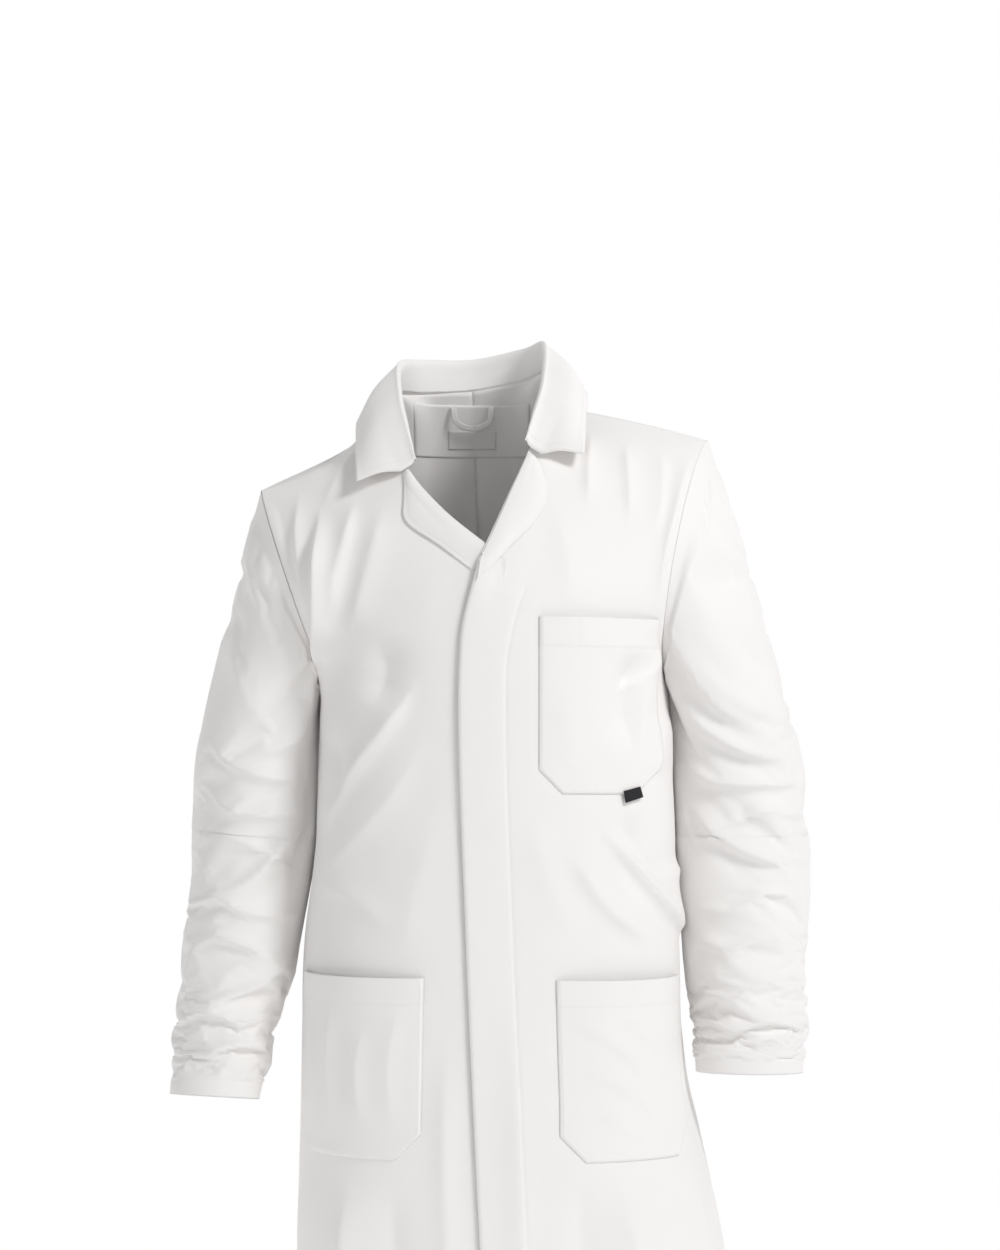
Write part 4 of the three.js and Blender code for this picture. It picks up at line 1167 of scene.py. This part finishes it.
FACING_EDGE_Z = -14
back_patch("back_neck_facing", 62, FACING_EDGE_Z, -69, 1.5, twill)
back_patch("neck_label", 26, -40, -60, 2.4, tape, 24, 12)
print("facing and label sewn in")

# %% [markdown]
# ## The hanger loop
# The loop hangs as a catenary would, but its tape is stiff, so it stands off the neck in the
# middle. Its line is a curve through five points, and the tape is seven columns across it.

# %% Hanger loop
LOOP_HALF, LOOP_DROP, LOOP_WIDTH = 21, 20, 6
turn = np.linspace(0, 1, 60)
across = spline([(-1, 0, 0), (-0.85, -0.7, 0), (0, -1, 0), (0.85, -0.7, 0), (1, 0, 0)], turn)
stand = 3.2 + 8 * np.sin(np.pi * turn) ** 0.6
loop_line = on_back(across[:, 0] * LOOP_HALF, FACING_EDGE_Z + across[:, 1] * LOOP_DROP, -stand)
loop_out = np.cross(np.gradient(loop_line, axis=0), (0, 0.9, 0.4))
loop_out /= np.linalg.norm(loop_out, axis=1, keepdims=True)
tape_columns = np.linspace(-LOOP_WIDTH / 2, LOOP_WIDTH / 2, 7)
loop_grid = np.stack([loop_line + loop_out * k for k in tape_columns], axis=1)
hanger_loop = cloth("hanger_loop", loop_grid, (0, -1, 0), tape, thick=1.2)
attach(hanger_loop, "body")
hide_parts("hanger_loop")
hangs(hanger_loop, area=0.0004)
loop_length = np.linalg.norm(np.diff(loop_line, axis=0), axis=1).sum()
print("the loop's tape is", float(loop_length.round()), "mm long")

# %% [markdown]
# ## Press studs
# Each stud has a cap and a socket on the fly, and a ball and a post on the right front. They
# are turned parts, so each is a profile spun about the stud's axis.

# %% Studs
def turned(name, profile, place, depth, material, body, sides=40):
    """A closed profile of (radius, depth) spun about the y axis through a place."""
    angle = np.linspace(0, 2 * np.pi, sides, endpoint=False)
    r, d = np.array(profile, float).T
    ring = xyz(r[:, None] * np.cos(angle), d[:, None] + depth + 0 * angle, r[:, None] * np.sin(angle))
    faces = grid_faces(len(r), sides, closed=True)
    obj = mesh_object(name + "_turned", to_frame(ring + place), faces, material)
    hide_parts(name)
    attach(obj, body)
    return obj


CAP_PROFILE = [(0.01, 0), (3.2, 0.05), (4.9, 0.25), (5.8, 0.6), (6, 0.8), (5.9, 1), (0.01, 1)]
SOCKET_PROFILE = [(2.4, 0), (4.7, 0), (5, 0.3), (5, 0.9), (4.6, 1.3), (4, 1.6), (2.7, 1.6), (2.4, 1.4),
                  (2.4, 0)]
BALL_PROFILE = [(0.01, -1.1), (1.2, -1.1), (1.8, -0.8), (2, -0.5), (1.9, -0.2), (1.6, 0), (4.7, 0),
                (5, 0.2), (5, 0.5), (4.8, 0.6), (0.01, 0.6)]
POST_PROFILE = [(0.01, 0), (5.2, 0), (5.5, 0.2), (5.4, 0.5), (3.9, 0.9), (0.01, 0.9)]
STUD_PIECES = {  # profile, depth behind the front's face, finish, slot and body
    "cap": (CAP_PROFILE, 1.0, enamel, "enamel", "opening_edge"),
    "socket": (SOCKET_PROFILE, 3.1, nickel, "nickel", "opening_edge"),
    "ball": (BALL_PROFILE, 4.3, nickel, "nickel", "body"),
    "post": (POST_PROFILE, 7.4, nickel, "nickel", "body"),
}
STUD_COUNT, FIRST_STUD_Z, STUD_ABOVE_HEM, STUD_INSET = 6, -238.0, 167, 25
STUD_SPACING = (FIRST_STUD_Z - HEM_Z - STUD_ABOVE_HEM) / (STUD_COUNT - 1)
for number in range(1, STUD_COUNT + 1):
    z = FIRST_STUD_Z - (number - 1) * STUD_SPACING
    x = float(along(EDGE_X, np.array(z))) + STUD_INSET
    v = float(height_share(np.array(z)))
    there = {s: panel(s, 1, float(share_at_x(s, np.array(v), x)), v) for s in SIDES}
    rise = {s: float(lift_of(there[s], 1)) for s in SIDES}
    at = {
        "opening_edge": np.array([x, there["left"][1] - rise["left"], z]),
        "body": np.array([x, there["right"][1] - rise["right"] - UNDER, z]),
    }
    for part, (profile, depth, material, slot_name, body) in STUD_PIECES.items():
        turned(f"stud_{part}_{number}", profile, at[body], depth, material, body)
print(STUD_COUNT * len(STUD_PIECES), "stud pieces,", STUD_SPACING, "mm apart")

# %% [markdown]
# ## The sleeve's tube
# A sleeve is a tube from the oval of the armhole to the wrist. Its lines run smoothly from the
# armhole through rings about the arm, each square to the arm's own line.

# %% Sleeve lines
RING_LEVELS = [-352, -440, -530, -630]
RING_RUNS = [0, 0.17, 0.34, 0.53, 0.76, 1.0]  # the shares of its length at which the rings come
AXIS_STEP = 8


def arm_ring(side, z, angle):
    """An ellipse square to the arm: angle 0 is its outer side, pi / 2 its front."""
    s = SIDES[side]
    line = [(p[2], p[0]) for p in s["arm"]]
    depth = [(p[2], p[1]) for p in s["arm"]]
    z = np.asarray(z, float) + 0 * angle

    def centre(h):
        return xyz(along(line, h), along(depth, h), h)

    axis = centre(z + AXIS_STEP) - centre(z - AXIS_STEP)
    axis = axis / np.linalg.norm(axis, axis=-1, keepdims=True)
    outward = np.array([s["sign"], 0, 0]) - axis * (axis[..., :1] * s["sign"])
    forward = np.array([0, -1, 0]) + axis * axis[..., 1:2]
    outward = outward / np.linalg.norm(outward, axis=-1, keepdims=True)
    forward = forward / np.linalg.norm(forward, axis=-1, keepdims=True)
    return (
        centre(z)
        + outward * (along(s["arm_width"], z) * np.cos(angle))[..., None]
        + forward * (along(s["arm_depth"], z) * np.sin(angle))[..., None]
    )


def sleeve_lines(side, t, angle):
    """Spline lines down the sleeve: from the armhole through five rings to the wrist."""
    levels = [*RING_LEVELS, SIDES[side]["arm"][-1][2]]
    rings = np.stack([armhole(side, angle)] + [arm_ring(side, z, angle) for z in levels])
    last = len(rings) - 1
    x = np.interp(t, RING_RUNS, np.arange(last + 1))
    i = np.minimum(x.astype(int), last - 1)
    s = (x - i)[..., None]
    columns = np.broadcast_to(np.arange(len(angle)), t.shape)
    p = [rings[np.clip(i + k, 0, last), columns] for k in (-1, 0, 1, 2)]
    p[0] = np.where((i == 0)[..., None], 2 * p[1] - p[2], p[0])
    p[3] = np.where((i == last - 1)[..., None], 2 * p[2] - p[1], p[3])
    return 0.5 * (
        2 * p[1] + (p[2] - p[0]) * s + (2 * p[0] - 5 * p[1] + 4 * p[2] - p[3]) * s**2
        + (3 * p[1] - p[0] - 3 * p[2] + p[3]) * s**3
    )


SLEEVE_COLUMNS, SLEEVE_ROWS = 132, 250


def plain_sleeve(side):
    """The sleeve without folds: its points, their outward directions and the shares down it."""
    angle = np.arange(SLEEVE_COLUMNS) * 2 * np.pi / SLEEVE_COLUMNS
    t = np.linspace(0, 1, SLEEVE_ROWS)[:, None] * np.ones(SLEEVE_COLUMNS)
    tube = sleeve_lines(side, t, angle)
    n = np.cross(np.gradient(tube, axis=0), np.roll(tube, -1, 1) - np.roll(tube, 1, 1))
    n /= np.linalg.norm(n, axis=-1, keepdims=True)
    centre = tube.mean(axis=1, keepdims=True)
    n *= np.sign(((tube - centre) * n).sum())
    return tube, n, t


outer_line = plain_sleeve("left")[0][:, 0]
print("sleeve length along the outside:", round(float(np.linalg.norm(
    np.diff(outer_line, axis=0), axis=-1).sum())), "mm")

# %% [markdown]
# ## Where a sleeve folds
# Cloth that is longer than the arm gathers: long folds below the shoulder, short crossing ones
# from the elbow to the wrist. They are drawn in the front view, as the body's folds are, and the
# back half of the sleeve has the same ones a little lower.

# %% Sleeve folds
SLEEVE_FOLDS = {
    "right": [
        ([(-197, -135), (-178, -200), (-158, -270), (-154, -330)], 11, 5, 0.3),
        ([(-222, -160), (-204, -240), (-180, -310)], 13, 4, 0.3),
        ([(-240, -240), (-226, -310), (-190, -370)], 13, 4, 0.3),
        ([(-266, -352), (-240, -382), (-196, -398), (-160, -392)], 9, 6, 0.4),
        ([(-162, -340), (-190, -366), (-232, -372)], 8, 4.5, -0.3),
        ([(-272, -398), (-236, -428), (-190, -430), (-158, -414)], 9, 6, 0.4),
        ([(-274, -452), (-240, -452), (-206, -468), (-166, -492)], 9, 5.5, -0.4),
        ([(-160, -440), (-190, -458), (-226, -496), (-266, -508)], 8, 5.5, 0.4),
        ([(-286, -520), (-256, -512), (-220, -528), (-172, -528)], 8, 5, 0.4),
        ([(-284, -560), (-250, -550), (-214, -566), (-180, -590)], 8, 5, -0.4),
        ([(-176, -560), (-206, -590), (-244, -612), (-286, -608)], 8, 5.5, 0.4),
        ([(-294, -640), (-262, -628), (-228, -640), (-192, -626)], 8, 5, 0.4),
        ([(-296, -672), (-262, -676), (-222, -664), (-200, -672)], 7, 4, 0.3),
    ],
    "left": [
        ([(226, -110), (216, -170), (204, -230), (204, -290)], 10, 4.5, -0.3),
        ([(258, -130), (268, -210), (290, -290)], 15, 3.5, 0.2),
        ([(204, -250), (222, -292), (256, -330), (300, -344)], 9, 6, 0.4),
        ([(206, -300), (236, -344), (280, -370), (330, -376)], 9, 6.5, 0.4),
        ([(330, -330), (290, -330), (252, -306)], 9, 4.5, -0.3),
        ([(214, -372), (246, -398), (290, -402), (336, -396)], 8, 6, 0.4),
        ([(338, -432), (296, -428), (258, -446), (220, -470)], 8, 5.5, -0.4),
        ([(222, -420), (254, -452), (296, -474), (338, -470)], 8, 5.5, 0.4),
        ([(338, -512), (300, -508), (262, -524), (226, -520)], 8, 5, 0.4),
        ([(228, -548), (262, -560), (300, -550), (336, -566)], 8, 5, -0.4),
        ([(334, -606), (296, -596), (262, -610), (230, -600)], 8, 5, 0.4),
        ([(230, -634), (266, -646), (300, -636), (334, -648)], 7, 4, 0.3),
    ],
}


BACK_DROP = 23


def sleeve_folds(side, points):
    """The drawn folds on the front half, and the same ones moved down on the back half."""
    flat = seen(points)
    s = SIDES[side]
    arm_y = along([(p[2], p[1]) for p in s["arm"]], points[..., 2])
    front = smooth(arm_y - points[..., 1], -25, 10)
    ahead = folds(flat, SLEEVE_FOLDS[side])
    behind = folds(flat + (0, BACK_DROP), SLEEVE_FOLDS[side])
    return ahead * front + behind * (1 - front)


def sleeve_lift(side, tube, t):
    """Folds, ripples and the hem's row of stitches. Folds die away at both ends."""
    ease = smooth(t, 0, 0.06) * smooth(1 - t, 0.02, 0.05)
    lift = sleeve_folds(side, tube) * ease + 0.5 * ripple(seen(tube), 26, 21) * ease
    from_wrist = tube[..., 2] - SIDES[side]["arm"][-1][2]
    lift += 0.5 * smooth(SLEEVE_HEM - from_wrist, 0, 1) + groove(from_wrist - SLEEVE_HEM, 1.1, 0.6)
    return lift


print({side: len(drawn) for side, drawn in SLEEVE_FOLDS.items()}, "sleeve folds")

# %% [markdown]
# ## Letting a sleeve settle
# Drawn folds alone look carved. The cloth solver makes a sleeve a little longer than the arm
# inside it, lets it fall and bunch, and so joins the folds up as real ones are. Stiff bending
# keeps the folds as broad as twill makes them.

# %% Cloth simulation
ARM_SHARE = 0.84  # the arm inside, as a share of the sleeve's width
FRAMES = 24
PINNED_TOP, PINNED_WRIST = 3, 5  # rows


def simulate(tube):
    """Lets a sleeve that is longer and wider than the arm settle on it. Its two end rings are
    pinned, gravity pulls, and a smaller tube stands for the arm inside."""
    rows, columns = tube.shape[:2]
    sheet = mesh_object("sleeve_at_work", to_frame(tube), grid_faces(rows, columns, closed=True), twill)
    pins = sheet.vertex_groups.new(name="pinned")
    pins.add(list(range(PINNED_TOP * columns)), 1.0, "REPLACE")
    pins.add(list(range((rows - PINNED_WRIST) * columns, rows * columns)), 1.0, "REPLACE")
    centre = tube.mean(axis=1, keepdims=True)
    inner = centre + (tube - centre) * ARM_SHARE
    arm = mesh_object("arm_at_work", to_frame(inner), grid_faces(rows, columns, closed=True), twill)
    out = np.cross(np.diff(inner, axis=1)[:-1], np.diff(inner, axis=0)[:, :-1])
    if float((out * (inner - centre)[:-1, :-1]).sum()) < 0:
        arm.data.flip_normals()
        sheet.data.flip_normals()
    arm.modifiers.new("arm", "COLLISION")
    arm.collision.thickness_outer = 0.002
    arm.collision.cloth_friction = 40
    work = sheet.modifiers.new("cloth", "CLOTH")
    c = work.settings
    c.quality, c.mass, c.air_damping = 7, 0.06, 2.0
    c.tension_stiffness, c.compression_stiffness, c.shear_stiffness = 25, 25, 10
    c.bending_stiffness = 2.5
    c.vertex_group_mass = "pinned"
    c.shrink_min = c.shrink_max = -0.045
    c.effector_weights.gravity = 0.15
    work.collision_settings.use_self_collision = True
    work.collision_settings.self_distance_min = 0.0015
    work.collision_settings.distance_min = 0.002
    for frame_number in range(1, FRAMES):
        bpy.context.scene.frame_set(frame_number)
    settled = sheet.evaluated_get(bpy.context.evaluated_depsgraph_get()).to_mesh()
    flat = np.empty(len(settled.vertices) * 3)
    settled.vertices.foreach_get("co", flat)
    bpy.context.scene.frame_set(1)
    for spare in (sheet, arm):
        bpy.data.objects.remove(spare)
    return flat.reshape(rows, columns, 3) * 1000 + NAPE


def settled(side, points, tube):
    """The sleeve after the simulation. Every second row and column take part, and the shift of
    each is mixed for the points between."""
    shift = simulate(points[::2, ::2]) - tube[::2, ::2]
    j, i = np.arange(SLEEVE_ROWS) / 2, np.arange(SLEEVE_COLUMNS) / 2
    j0, i0 = np.minimum(j.astype(int), len(shift) - 2), i.astype(int)
    i1 = (i0 + 1) % (SLEEVE_COLUMNS // 2)
    down, across = (j - j0)[:, None, None], (i - i0)[None, :, None]
    row_above = lerp(shift[j0][:, i0], shift[j0][:, i1], across)
    row_below = lerp(shift[j0 + 1][:, i0], shift[j0 + 1][:, i1], across)
    most = float(np.linalg.norm(shift, axis=-1).max())
    print(side, "sleeve moved by up to", round(most, 1), "mm")
    return tube + lerp(row_above, row_below, down)


print("the solver is", "run for each sleeve")

# %% [markdown]
# ## Two parts of a sleeve
# A sleeve bends at the elbow and lifts at the shoulder. It is cut across near the elbow, where the two halves
# meet edge to edge. Each half is baked in place as it is; neither follows the body parts beside it nor bends.

# %% Sleeves
CUT_ROW, CUT_STEP = 96, 0.08
HEM_ROWS, HEM_INSIDE = 8, 1.5
ARMHOLE_BEND, ELBOW_BEND = (2, 28), (-392, -488)


def rows_at(grid, places):
    """Rows of a grid at whole or fractional places, on a smooth curve through its rows."""
    j = np.minimum(np.asarray(places, float).astype(int), len(grid) - 2)
    s = (places - j)[:, None, None]
    a, b, c, d = (grid[np.clip(j + k, 0, len(grid) - 1)] for k in (-1, 0, 1, 2))
    return 0.5 * (2 * b + (c - a) * s + (2 * a - 5 * b + 4 * c - d) * s**2 + (3 * b - a - 3 * c + d) * s**3)


def bend_at_armhole(side):
    """Two places off the armhole's plane, between which the sleeve leaves the body."""
    sign = SIDES[side]["sign"]
    top, low = np.array(SIDES[side]["shoulder"], float), np.array(SIDES[side]["underarm"], float)
    off_hole = np.cross(top - low, (0, 1, 0)) * -sign
    off_hole *= np.sign(off_hole[0] * sign) / np.linalg.norm(off_hole)
    return [to_frame((top + low) / 2 + off_hole * reach) for reach in ARMHOLE_BEND]


def bend_at_elbow(side):
    """Two places above and below the elbow."""
    return [to_frame([SIDES[side]["arm"][0][0], 20, z]) for z in ELBOW_BEND]


def add_sleeve_part(side, name, points, bend, nodes):
    """One half of a sleeve, open at both ends, baked in place as it is. Its two bending places are found but
    not used, so it does not bend. It is turned over where its grid runs the other way round the arm."""
    obj = cloth(name, points, (0, 0, 1), closed=True)
    obj.modifiers["thickness"].use_rim = False
    off_grid = np.cross(np.diff(points, axis=1)[:-1], np.diff(points, axis=0)[:, :-1])
    from_arm = (points - points.mean(axis=1, keepdims=True))[:-1, :-1]
    if float((off_grid * from_arm).sum()) < 0:
        obj.data.flip_normals()
    start, end = bend(side)
    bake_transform(obj)
    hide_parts(*[f"sleeve_{side}_{node}" for node in nodes])
    return obj


def add_sleeve(side):
    """Both parts of a sleeve, with its wrist hem turned in. Gives its points for the stitches."""
    tube, n, t = plain_sleeve(side)
    lift = sleeve_lift(side, tube, t)
    points = tube + n * lift[..., None]
    points = settled(side, points, tube)
    turned_in = slice(-2, -2 - HEM_ROWS, -1)
    inside = tube[turned_in] - n[turned_in] * (HEM_INSIDE - lift[turned_in])[..., None]
    whole = np.concatenate([points, inside])
    above = np.r_[0:CUT_ROW, CUT_ROW - CUT_STEP, CUT_ROW]
    below = np.r_[CUT_ROW, CUT_ROW + CUT_STEP, CUT_ROW + 1:len(whole)]
    upper, forearm = f"{side}_upper_sleeve", f"{side}_forearm_sleeve"
    for name, rows, bodies, bend, nodes in (
        (upper, above, ("body", upper), bend_at_armhole, ("head", "upper")),
        (f"{side}_lower_sleeve", below, (upper, forearm), bend_at_elbow, ("elbow", "forearm", "hem")),
    ):
        part = rows_at(whole, rows)
        obj = add_sleeve_part(side, name, part, bend, nodes)
        hangs(obj)
    return points


sleeves = {side: add_sleeve(side) for side in SIDES}
print("sleeve grids:", {side: points.shape[:2] for side, points in sleeves.items()})

# %% [markdown]
# ## Stitching
# White thread on white cloth shows by its shadow and by the small valley that it pulls. Rows of
# stitches run down the fly, round the pockets, along the collar and round every hem.

# %% Rows of stitches on the fronts
def rows_on(points, out, picks):
    """Lines of a grid, each given as a pair of slices, with the outward directions along them."""
    n = grid_normals(points, out)
    return [points[pick] for pick in picks], [n[pick] for pick in picks]


FORWARD, UPWARD = (0, -1, 0), (0, 0, 1)
break_row = int(np.searchsorted(rows_of(FRONT_ROWS), V_BREAK)) - 3
hem_row = int(np.searchsorted(left_front_points[:, 40, 2], HEM_Z + HEM_STITCH))
fly_row, hem_line = (slice(3, break_row), FLY_COLUMN), (hem_row, slice(3, -3))
lines, outs = rows_on(left_front_points, FORWARD, [fly_row, hem_line])
with_opening(stitches("left_front_stitches", lines, outs))
print("the fly's row is", round(float(np.linalg.norm(np.diff(lines[0], axis=0), axis=1).sum())), "mm long")

# %% [markdown]
# ## Rows on the pockets and the collar
# A pocket has a row along each sewn edge and one under its mouth's band, and the breast pocket
# has a short row that makes a place for a pen. The collar's row goes round its leaf.

# %% Rows of stitches on pockets and collar
PEN_COLUMN = 30
pocket_lines, pocket_outs = [], []
sewn_pockets = [(breast_points, BREAST), *((lower_points[side], LOWER) for side in ("left", "right"))]
for points, pocket in sewn_pockets:
    rows = points.shape[0]
    band_row = round((1 - (pocket["band"] - BAND_STITCH) / pocket["depth"]) * (rows - 1))
    upright, level = slice(1, rows - 1), slice(2, -2)
    picks = [(upright, 2), (upright, -3), (1, level), (band_row, level)]
    if pocket is BREAST:
        picks.append((slice(band_row, rows - 1), PEN_COLUMN))
    lines, outs = rows_on(points, FORWARD, picks)
    pocket_lines += lines
    pocket_outs += outs
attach(stitches("pocket_stitches", pocket_lines, pocket_outs), "body")
leaf_rows = slice(30, 61)
lines, outs = rows_on(top_points, UPWARD, [(leaf_rows, 2), (leaf_rows, -3), (60, slice(2, -2))])
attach(stitches("collar_stitches", lines, outs), "body")
lines, outs = rows_on(right_front_points, FORWARD, [(hem_row, slice(len(STAND_COLUMNS), -3))])
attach(stitches("right_front_stitches", lines, outs), "body")
print(len(pocket_lines), "rows on the pockets")

# %% [markdown]
# ## Rows round the wrists
# One row holds each wrist's turned-in hem. It closes on itself, so its first point comes again
# at the end.

# %% Rows of stitches on the wrists
for side, points in sleeves.items():
    row_z = plain_sleeve(side)[0][:, 0, 2]
    line_row = int(np.argmin(abs(row_z - SIDES[side]["arm"][-1][2] - SLEEVE_HEM)))
    n = np.cross(np.roll(points, -1, 1) - np.roll(points, 1, 1), np.gradient(points, axis=0))
    n /= np.linalg.norm(n, axis=-1, keepdims=True)
    n *= np.sign((n * (points - points.mean(axis=1, keepdims=True))).sum())
    line = np.vstack([points[line_row], points[line_row, :1]])
    out = np.vstack([n[line_row], n[line_row, :1]])
    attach(stitches(f"{side}_wrist_stitches", [line], [out]), f"{side}_forearm_sleeve")
    print(side, "wrist row is at row", line_row)

# %% [markdown]
# ## The studio
# White cloth on white shows only by its shading, so the light has to come from somewhere. The
# floor is a wide pale disc. The sky is bright behind the coat and at the horizon, so that the
# background stays white, and about a third as bright in front.

# %% Floor and sky
FLOOR_RADIUS, FLOOR_Z, FLOOR_GLOW = 2.3, -1.5, 0.3
DIM, BRIGHT = 0.33, 1.0
around = np.linspace(0, 2 * np.pi, 96, endpoint=False)
floor_rim = xyz(FLOOR_RADIUS * np.cos(around), FLOOR_RADIUS * np.sin(around), FLOOR_Z)
floor_finish = plain("studio_floor", "#FAFAFA", 0.9)
floor_surface = floor_finish.node_tree.nodes["Principled BSDF"]
floor_surface.inputs["Emission Color"].default_value = (1, 1, 1, 1)
floor_surface.inputs["Emission Strength"].default_value = FLOOR_GLOW
floor = mesh_object("floor", floor_rim, [list(range(len(around)))], floor_finish)
world = bpy.data.worlds.new("studio")
bpy.context.scene.world = world
world.use_nodes = True
sky = world.node_tree
towards = new_node(sky, "ShaderNodeTexCoord").outputs["Generated"]
parts = new_node(sky, "ShaderNodeSeparateXYZ", [(towards, "Vector")])
level = new_node(sky, "ShaderNodeMath", [(parts.outputs["Z"], 0)], operation="ABSOLUTE")
behind = new_node(sky, "ShaderNodeMapRange", [(parts.outputs["Y"], "Value")], interpolation_type="SMOOTHSTEP",
                  From_Min=-0.2, From_Max=0.85, To_Min=DIM, To_Max=BRIGHT)
horizon = new_node(sky, "ShaderNodeMapRange", [(level.outputs["Value"], "Value")],
                   interpolation_type="SMOOTHSTEP", From_Min=0.1, From_Max=0.3, To_Min=BRIGHT, To_Max=DIM)
both = [(behind.outputs["Result"], 0), (horizon.outputs["Result"], 1)]
brighter = new_node(sky, "ShaderNodeMath", both, operation="MAXIMUM")
sky.links.new(brighter.outputs["Value"], sky.nodes["Background"].inputs["Strength"])
sky.nodes["Background"].inputs["Color"].default_value = (1, 1, 1, 1)
print("the floor is", 2 * FLOOR_RADIUS, "m across")

# %% [markdown]
# ## Lights and camera
# A soft box up on the coat's left draws the folds, and a large weak one on its right opens their
# shadows. The camera stands level with the chest, with a long lens.

# %% Lights and camera
def area_light(name, place, aim, size, power):
    """A square soft box that looks at a point."""
    light = bpy.data.lights.new(name, "AREA")
    light.size, light.energy = size, power
    obj = bpy.data.objects.new(name, light)
    obj.location = place
    to = np.array(aim, float) - place
    obj.rotation_euler = (math.acos(-to[2] / np.linalg.norm(to)), 0, math.atan2(to[1], to[0]) - math.pi / 2)
    bpy.context.scene.collection.objects.link(obj)
    return obj


area_light("key", (1.7, -1.9, 1.6), aim=(0, 0, -0.45), size=0.8, power=48)
area_light("fill", (-2.4, -2.0, 0.3), aim=(0, 0, -0.5), size=1.6, power=4)
camera_data = bpy.data.cameras.new("camera")
camera_data.lens, camera_data.sensor_width = 89.3, 36
camera = bpy.data.objects.new("camera", camera_data)
camera.location = (0.030, -3.325, -0.250)
camera.rotation_euler = (math.radians(90), 0, 0)
bpy.context.scene.collection.objects.link(camera)
bpy.context.scene.camera = camera
bpy.context.scene.view_settings.view_transform = "Standard"
print("camera:", camera_data.lens, "mm lens")
